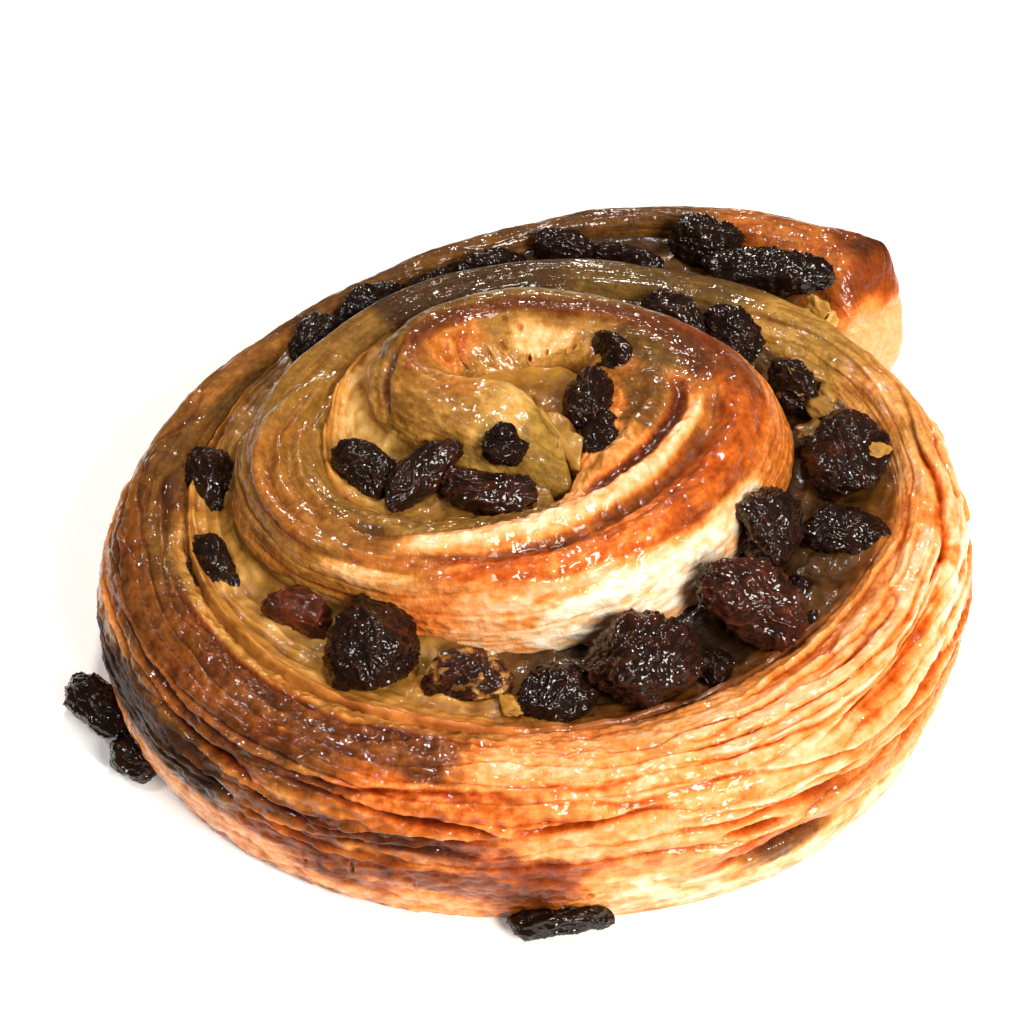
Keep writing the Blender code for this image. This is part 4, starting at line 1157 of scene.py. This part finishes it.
def facetedReach(direction, rng, peak):
    # How far an unevenly flattened ball reaches: flat sides at distances m joined by
    # (sum of (cos / m)^8)^(-1/8). A peaked one is drawn in towards its top.
    count = raisins["facets"]
    sides = rng.normal(size=(count, 3))
    sides /= np.linalg.norm(sides, axis=1, keepdims=True)
    reach = rng.uniform(*raisins["facetReach"], size=count)
    facing = np.maximum(direction @ sides.T, 0) / reach
    whole = ((facing ** 8).sum(1) + 1.0) ** (-1 / 8)
    up = np.clip(direction[:, 2], 0, 1)
    return whole * (1 - peak * 0.75 * up * (1 - up) * 2.2)


def makeRaisin(number, place, material):
    # An oval with uneven flat sides, its girth drawn in by folds |sin(2.5 a + phase)|, bent
    # along its length, then dented by smooth noise and raised into wrinkles that run along it.
    angle, radius, height, length, width, depth, swing, tilt = place
    rng = np.random.default_rng(raisins["seed"] + number)
    phase, lop = rng.uniform(0, 2 * math.pi, 2)
    direction, faces = ball(raisins["rings"], raisins["sides"])
    axis, side, up = direction.T
    reach = facetedReach(direction, rng, raisins["peaks"].get(number, 0.0))
    reach = reach * raisins["growths"].get(number, raisins["growth"])
    around = np.arctan2(up, side)
    fold = np.abs(np.sin(raisins["folds"] / 2 * around + phase + 1.3 * axis))
    fullness = np.clip(1 - axis ** 2, 0, 1) ** 0.3
    girth = 1 - raisins["foldDepth"] * fold * fullness - 0.06 * np.sin(2 * around + lop) * fullness
    bend = raisins["bends"].get(number, raisins["bend"] * (-1) ** number)
    x = axis * reach * length / 2
    y = (side * girth * reach + bend * (0.4 - axis ** 2)) * width / 2
    z = up * girth * reach * depth / 2
    size, warpSize, dent = raisins["wrinkleSize"], raisins["warpSize"], raisins["dentSize"]
    far = 40.0 * number
    warp = raisins["warp"] * noiseAt(x / warpSize, y / warpSize + far, z / warpSize, 91)
    wrinkle = ridgedNoise((x + warp) / (1.9 * size) + far, (y + warp) / size, z / size, 92)
    wrinkle += 0.55 * ridgedNoise(x / size + far, (y + warp) / (0.6 * size),
                                  (z - warp) / (0.6 * size), 93)
    dented = noiseAt(x / dent + far, y / dent, z / dent, 94)
    small = min(1.0, width / 8)
    relief = small * (raisins["wrinkleHeight"] * (wrinkle - 0.5) + raisins["dentDepth"] * dented)
    out = np.stack([x / length ** 2, y / width ** 2, z / depth ** 2], -1)
    out /= np.linalg.norm(out, axis=-1, keepdims=True) + 1e-12
    points = np.stack([x, y, z], -1) + out * relief[:, None]
    points = turned(points, -math.radians(tilt), 0, 2)
    points = turned(points, math.radians(angle + 90 + swing))
    points = (points + (*polePoint(angle, radius), height)) * mm
    points[:, 2] = np.maximum(points[:, 2], raisins["offTable"] * mm)
    tint, smear = raisins["tints"].get(number, raisins["plainTint"])
    patch = noiseAt(*(np.stack([x, y, z]) / raisins["patchSize"] + [[far], [0], [0]]), 95)
    # The tint and patches are the skin's own; paler on the wrinkles' ridges and darker between them is
    # painted light and shade.
    shade = np.clip(tint * 0.55 + 0.22 * (wrinkle - 0.6) + 0.12 * patch, 0, 1)
    # A cream skin lies on the top, and smaller smears anywhere.
    smeared = np.clip(smear * (0.9 + 0.4 * patch) + (smear > 0.5) * 0.4 * up, 0, 1)
    makePiece(f"raisinSkin{number + 1:02d}", points, faces, material,
              [f"raisin_{number + 1:02d}"], {"skin": np.stack([shade, smeared, 0 * shade], -1)})


raisinMaterial = makeRaisinMaterial()
for number, place in enumerate(raisins["places"]):
    makeRaisin(number, place, raisinMaterial)
print("raisins done")


cream = {
    "firstAngle": 36.5,
    "lastAngle": 638.5,
    "sections": 900,
    "pointsAcross": 44,
    "overlap": 0.7,          # mm that it reaches into the walls, which hide its edge
    "crown": 0.35,           # mm
    "filmRise": 2.6,         # mm
    # places where the film over the end of the strip rises: x, y, reach
    "film": ((-5.5, 0.8, 3.6), (-1, -0.2, 4.4), (2.4, -2, 4.8), (4.6, -5.8, 5), (5, -9.2, 4.8),
             (0, -6, 5)),
    "meniscus": 0.7,
    "depth": 5.0,
    "lumpSize": 3.2,         # mm
    "crumpleSize": 1.3,      # mm
    "heartLumpSize": 3.0,    # mm
    "heartCrumpleSize": 1.0, # mm
    "skinPitch": 1.7,
    "skinBends": ((1.2, 14, 5), (0.4, 5, 2.5)),
    "finePitch": 0.7,
    "fineBends": ((0.5, 9, 3),),
    "climb": 0.6,            # mm up each raisin
    "climbReach": 0.8,       # mm
    "heartAngles": (652.5, 1005.0),
    "heartSpokes": 260,
    "heartRings": 60,
    "heartMiddle": (0.4, 0.8, 0),
    "bitRings": 22,
    "bitSides": 36,
    "mottleSize": 2.4,       # mm
    "mottleTone": 0.34,
    "grainSize": 0.8,        # mm
    # angle along the swirl, tone from dark to pale, amber from murky grey to golden,
    # height of the slope up the outer wall and up the inner wall in mm
    "channel": (
        (36, 0.3, 0.6, 0, 0), (60, 0.16, 0.4, 0, 0), (130, 0.18, 0.4, 0, 0),
        (165, 0.3, 0.6, 0.8, 0.4), (195, 0.44, 0.7, 2, 1.6), (215, 0.53, 0.7, 2.4, 2.6),
        (240, 0.56, 0.7, 2.2, 2), (260, 0.46, 0.7, 1.6, 0.5), (272, 0.22, 0.6, 1.2, 0),
        # from about 272 to 345, where raisins crowd the channel, the cream is near black: partly dark
        # syrup, partly painted shade between the raisins
        (282, 0.06, 0.4, 1, 0), (320, 0.06, 0.3, 0.8, 0), (345, 0.15, 0.4, 0.8, 0),
        (360, 0.22, 0.3, 0, 0), (372, 0.36, 0.5, 0, 0), (388, 0.34, 0.4, 0, 0),
        (430, 0.2, 0.4, 0, 0), (480, 0.4, 0.6, 0.6, 0.4), (535, 0.68, 0.6, 2.2, 3.2),
        (560, 0.66, 0.6, 1.8, 2.4), (585, 0.54, 0.5, 0.8, 0.6), (638, 0.48, 0.5, 0.4, 0),
    ),
    "places": (0, 0.3, 0.55, 0.8, 1),
    "murkyHexes": ("#120b05", "#36230f", "#624622", "#94763c", "#d2b878"),
    "bakedHexes": ("#3a1808", "#8c4614", "#cd7c38", "#f0b274", "#ffe0ba"),
    "amberHexes": ("#3a2208", "#764a12", "#b27f30", "#dcb064", "#fae4b6"),
    # bits of cream and of dough left on top: angle, distance from the pole, height,
    # length, width, depth in mm, tone, amber
    "bits": (
        (31, 50.6, 22.6, 4.2, 2.4, 2.4, 0.58, 0.8), (29, 51.4, 21, 3.4, 2, 2.2, 0.72, 0.8),
        (31.8, 49.2, 21.4, 2.6, 2.2, 2, 0.6, 0.8),
        (4, 40, 23.6, 4.6, 3.6, 2.2, 0.44, 0.5), (12.6, 40.4, 24.8, 5.4, 3.6, 2.4, 0.48, 0.6),
        (8, 42, 22.8, 4.4, 3.2, 2, 0.5, 0.6), (357, 38.6, 23.2, 3.8, 3.2, 1.8, 0.36, 0.4),
        (15.5, 41.6, 23.6, 3.2, 2.4, 1.8, 0.56, 0.7), (0.4, 42.4, 21.8, 4.2, 3.2, 1.4, 0.34, 0.4),
        (316, 39.6, 23.4, 1.8, 3.6, 1.6, 0.78, 0.9), (349.6, 47.4, 25.8, 3, 2.6, 0.8, 0.46, 1),
        (267, 47.8, 20.2, 3.2, 2.4, 1.2, 0.46, 1),
    ),
}


def makeCreamMaterial(name):
    # Pastry cream with gelled starch and syrup: soft, dense and wet, so light goes a little
    # way in and the surface shines. Its sugar browns it to amber where it is thin.
    material, shader, place = newMaterial(name)
    shade, amber, doughy = attributeParts(material, "cooked")
    mottle = addNoise(material, place, cream["mottleSize"], 3)
    shade = addMath(material, "MULTIPLY_ADD", mottle, cream["mottleTone"], shade)
    level = addMath(material, "SUBTRACT", shade, cream["mottleTone"] / 2)
    murky, golden, baked = [
        addRamp(material, level, cream["places"], cream[key])
        for key in ("murkyHexes", "amberHexes", "bakedHexes")]
    bump = addBump(material, addNoise(material, place, cream["grainSize"], 3), 0.55, 0.28)
    fillInputs(material, shader, {
        "Base Color": addMix(material, doughy, addMix(material, amber, murky, golden), baked),
        "Roughness": 0.45,
        "IOR": 1.42,
        "Specular IOR Level": 0.2,
        "Normal": bump,
        "Coat Weight": addRange(material, mottle, 0.38, 0.6, 0.1, 0.7),
        "Coat Roughness": 0.06,
        "Coat Normal": bump,
        "Subsurface Weight": 0.25,
        "Subsurface Radius": (1, 0.5, 0.2),
        "Subsurface Scale": 1.2 * mm,
    })
    return material


def riseRoundRaisins(points):
    # The cream climbs each raisin it touches: the sum of exp(-gap / reach) over raisins,
    # where gap is how far a point lies outside the raisin's oval.
    rise = np.zeros(points.shape[:-1])
    for angle, radius, height, length, width, depth, swing, tilt in raisins["places"]:
        turn = math.radians(angle + 90 + swing)
        x, y = polePoint(angle, radius)
        dx, dy = points[..., 0] - x, points[..., 1] - y
        lengthways = (dx * math.cos(turn) + dy * math.sin(turn)) / (length / 2)
        sideways = (dy * math.cos(turn) - dx * math.sin(turn)) / (width / 2)
        oval = np.hypot(lengthways, sideways)
        gap = np.abs(oval - 0.9) * width / 2
        rise += np.exp(-gap / cream["climbReach"]) * (oval < 3)
    return cream["climb"] * np.minimum(rise, 1.3)


def lumps(points, size, seed):
    # Soft lumps from about -1 to 1, of a size in mm.
    return noiseAt(points[..., 0] / size, points[..., 1] / size, 0.5, seed)


def makeChannelCream(material):
    # A ribbon between the walls of two turns: across it a low crown that climbs the walls
    # and the raisins, with soft lumps; its underside follows below.
    angle = np.linspace(cream["firstAngle"], cream["lastAngle"], cream["sections"])
    here, inside = innerWalls(angle)
    share = np.linspace(0, 1, cream["pointsAcross"])[None]
    pale, amber, outerSlope, innerSlope = stationColumns(cream["channel"], angle)
    innerWall, outerWall, level = inside.side[col], here.inner[col], here.level[col]
    inner = innerWall - cream["overlap"]
    outer = outerWall + cream["overlap"] + 0.55 * outerSlope
    r = inner + (outer - inner) * share
    edge = np.minimum(r - innerWall, outerWall - r)
    z = level + cream["crown"] * np.sin(math.pi * share)
    for rise, away, reach in ((cream["meniscus"], edge, 0.9), (outerSlope, outerWall - r, 2.6),
                              (innerSlope, r - innerWall, 2.2)):
        z = z + rise * np.exp(-np.clip(away, -0.3, None) / reach)
    z = z - 1.5 * outerSlope * eased(r - outerWall, 0.2, 0.4 + 0.6 * outerSlope)
    points = placed(angle[col] + 0 * r, r, z) / mm
    # A skin of finer and finer leaves lies on the slopes.
    lump = lumps(points, cream["lumpSize"], 101)
    crumple = lumps(points, cream["crumpleSize"], 105)
    along = alongAt(angle)[col] + 0 * r
    overSkin = r - innerWall + 1.6 * (z - level)
    arch, own, groove = leafRelief(along, overSkin, cream["skinPitch"], cream["skinBends"], 103)
    arch = arch - 0.6
    skin = np.clip((outerSlope + innerSlope) / 2, 0, 1)
    points[..., 2] += riseRoundRaisins(points) + 0.4 * lump + skin * (
        0.4 * own + 0.35 * arch - 0.5 * groove)
    points[..., 2] += (0.12 + 0.14 * skin) * crumple
    fine = leafRelief(along, overSkin, cream["finePitch"], cream["fineBends"], 104)
    points[..., 2] += skin * (0.1 * fine[1] - 0.12 * fine[2])
    low = points[:, ::-cream["pointsAcross"] + 1].copy()
    low[..., 2] = (here.level - cream["depth"])[col]
    points = np.concatenate([points, low], 1)
    # Tone: the channel's own from its table, paler where lumps and crumples rise; the skin's leaf tops
    # are painted paler as light, and its grooves and a line against the walls get painted shade.
    shade = pale + 0.1 * lump - 0.12 * np.exp(-np.clip(edge, 0, None) / 0.6)
    nearOuter = np.minimum(outerSlope, 1.5) / 1.5 * np.exp(-np.clip(outerWall - r, 0, None) / 1.8)
    shade = shade + nearOuter * (0.56 - pale) + 0.1 * crumple
    shade = shade + skin * (0.16 * arch + 0.1 * own - 0.22 * groove - 0.1 * fine[2])
    amber = amber + (1 - amber) * nearOuter
    front = eased(angle, 225, 262) * (1 - eased(angle, 345, 365))
    doughy = nearOuter * (0.35 + 0.65 * front)[col]
    under = 0 * low[..., 0]
    cooked = np.stack([np.concatenate([values, under + below], 1) for values, below in (
        (shade, 0.2), (amber, 0.5), (doughy, 0))], -1)
    rows, columns = points.shape[:2]
    faces = [gridQuads(rows, columns, closedColumns=True)[:, ::-1]]
    for ring in (np.arange(columns)[::-1], (rows - 1) * columns + np.arange(columns)):
        faces.append(np.stack([ring[2:], ring[1:-1], np.full(columns - 2, ring[0])], 1))
    makePiece("channelCream", points.reshape(-1, 3) * mm, faces, material,
              ["pastry_cream"], {"cooked": cooked.reshape(-1, 3)})


def makeHeartCream(material):
    # Spokes from the pole to the strip's inner wall, at the heart's level, with soft lumps.
    angle = np.linspace(*cream["heartAngles"], cream["heartSpokes"])
    here = innerWalls(angle)[0]
    share = np.linspace(1, 0.02, cream["heartRings"])[None]
    r = (here.inner + cream["overlap"])[col] * share
    z = here.level[col] + 0.4 * (1 - share)
    points = placed(angle[col] + 0 * r, r, z) / mm
    lump = lumps(points, cream["heartLumpSize"], 111)
    crumple = lumps(points, cream["heartCrumpleSize"], 112)
    points[..., 2] += riseRoundRaisins(points) + 0.5 * lump + 0.15 * crumple
    # A skin of cream carries on the end of the strip: it rises within reach of a few spots.
    far = [np.hypot(points[..., 0] - x, points[..., 1] - y) / reach
           for x, y, reach in cream["film"]]
    film = 1 - eased(np.min(far, axis=0) + 0.1 * lump, 0.62, 1.02)
    points[..., 2] += cream["filmRise"] * film
    low = points[:, :1].copy()
    low[..., 2] -= cream["depth"]
    points = np.concatenate([low, points], 1)
    lump, film = [np.concatenate([values[:, :1], values], 1) for values in (lump, film)]
    toBack = eased(points[..., 1] - swirl["poleY"], -3, 9)
    # paler towards the back and on the film; a dark line along the film's rising edge is painted shade
    shade = 0.28 + 0.26 * toBack + 0.08 * lump + 0.26 * film - 0.22 * film * (1 - film)
    cooked = np.stack([shade, 0.86 + 0.14 * toBack - 0.2 * film, 0 * shade], -1)
    rows, columns = points.shape[:2]
    top = rows * columns
    ring = np.arange(rows) * columns
    after = np.roll(ring, -1)
    crown = np.stack([ring + columns - 1, after + columns - 1, np.full(rows, top)], 1)
    under = np.stack([after, ring, np.full(rows, top + 1)], 1)
    flat = np.concatenate([points.reshape(-1, 3), [points[:, -1].mean(0), points[:, 0].mean(0)]])
    cooked = np.concatenate([cooked.reshape(-1, 3), [cream["heartMiddle"], cream["heartMiddle"]]])
    makePiece("heartCream", flat * mm, [gridQuads(rows, columns, closedRows=True), crown, under],
              material, ["heart_cream"], {"cooked": cooked})


def makeCreamBits(material):
    # Small ovals, crumpled by noise and sunk in what they lie on.
    shape, faces = ball(cream["bitRings"], cream["bitSides"])
    blocks, cooked, groups = [], [], []
    for number, (angle, radius, height, *sizes, pale, amber) in enumerate(cream["bits"]):
        far = 17.0 * number
        crumple = 1 + 0.5 * noiseAt(*(shape * 1.1 + far).T, 121)
        crumple += 0.16 * noiseAt(*(shape * 2.6 + far).T, 122)
        points = shape * crumple[:, None] * np.array(sizes) / 2
        points = turned(points, math.radians(angle + 90 + 50 * math.sin(5.0 * number)))
        blocks.append((points + (*polePoint(angle, radius), height)) * mm)
        cooked.append(np.stack([pale + 0.3 * (crumple - 1), amber + 0 * crumple, 0 * crumple], -1))
        groups += [group + len(shape) * number for group in faces]
    makePiece("creamBits", np.concatenate(blocks), groups, material, [],
              {"cooked": np.concatenate(cooked)})


channelCreamMaterial = makeCreamMaterial("bakedPastryCream")
makeChannelCream(channelCreamMaterial)
makeHeartCream(makeCreamMaterial("glazedHeartCream"))
makeCreamBits(channelCreamMaterial)
print("creams done")


stage = {
    "floorSize": 3.0,          # m
    "floorHexes": ("#f6f5f2", "#fbfbfb"),
    "floorGlow": 0.22,
    "fibreSize": 3.0,          # mm
    "worldHex": "#f3d3a6",
    "worldStrength": 0.11,
    # watts, size, place, target, colour of each lamp
    "lamps": {
        "key": (4.2, 0.22, (0.28, -0.36, 0.36), (0, 0, 0.01), (1, 0.95, 0.87)),
        "top": (0.1, 0.14, (0.05, 0, 0.5), (0, 0, 0.01), (1, 0.95, 0.88)),
        "spark": (0.92, 0.045, (0.02, 0.1, 0.42), (0, 0, 0.02), (1, 0.96, 0.9)),
        "window": (0.4, 0.04, (-0.2, -0.06, 0.38), (0, 0, 0.02), (0.95, 0.92, 1)),
        "back": (0.42, 0.05, (0.02, 0.44, 0.26), (0, 0, 0.02), (1, 0.9, 0.76)),
    },
}

# The photograph is taken from in front and above, from close by.
view = {
    "elevation": 47.0,         # degrees
    "distance": 0.225,         # m, from the aim
    "aimForward": 16.0,        # mm, from the pole to the aim
    "aimHeight": 0.012,        # m
    "sensor": 36.0,            # mm
    "imageSize": 1024,         # pixels
    "focalLength": 1640,       # pixels
    "aimColumn": 531,          # pixel where the aim shows
    "aimRow": 560,
}


def makeFloor():
    # A square of pale matt card that glows a little, so that it stays white.
    half = stage["floorSize"] / 2
    mesh = bpy.data.meshes.new("tableTop")
    mesh.from_pydata([(-half, -half, 0), (half, -half, 0), (half, half, 0), (-half, half, 0)], [],
                     [(0, 1, 2, 3)])
    material, shader, place = newMaterial("mattWhiteCard")
    fibre = addNoise(material, place, stage["fibreSize"], 2)
    tone = addRamp(material, fibre, (0, 1), stage["floorHexes"])
    fillInputs(material, shader, {
        "Base Color": tone, "Roughness": 0.85, "Emission Color": tone,
        "Emission Strength": stage["floorGlow"]})
    mesh.materials.append(material)
    floor = addObject("tableTop", mesh)


def makeLight(name, watts, size, where, target, color):
    # A round lamp that faces its target.
    light = bpy.data.lights.new(name, "AREA")
    light.shape = "DISK"
    light.size = size
    light.energy = watts
    light.color = color
    lamp = addObject(name, light)
    lamp.location = where
    lamp.rotation_euler = (Vector(target) - Vector(where)).to_track_quat("-Z", "Y").to_euler()


def makeCamera():
    # It looks at the aim, and its picture is shifted so that the aim shows at its pixel.
    rise = math.radians(view["elevation"])
    back = Vector((0, -math.cos(rise), math.sin(rise)))
    image = view["imageSize"]
    data = bpy.data.cameras.new("camera")
    data.sensor_width = view["sensor"]
    data.lens = view["sensor"] * view["focalLength"] / image
    data.shift_x = -(view["aimColumn"] - image / 2) / image
    data.shift_y = (view["aimRow"] - image / 2) / image
    data.clip_start = 0.001
    camera = addObject("camera", data)
    aim = Vector((swirl["poleX"] * mm, (swirl["poleY"] - view["aimForward"]) * mm, view["aimHeight"]))
    camera.location = aim + back * view["distance"]
    camera.rotation_euler = back.to_track_quat("Z", "Y").to_euler()
    bpy.context.scene.camera = camera


def makeWorld():
    # One dim colour from all sides.
    world = bpy.data.worlds.new("softRoom")
    world.use_nodes = True
    background = world.node_tree.nodes["Background"]
    background.inputs["Color"].default_value = hexColor(stage["worldHex"])
    background.inputs["Strength"].default_value = stage["worldStrength"]
    bpy.context.scene.world = world


makeFloor()
makeWorld()
for name, (watts, size, where, target, color) in stage["lamps"].items():
    makeLight(name, watts, size, where, target, color)
makeCamera()
bpy.context.scene.view_settings.view_transform = "Standard"
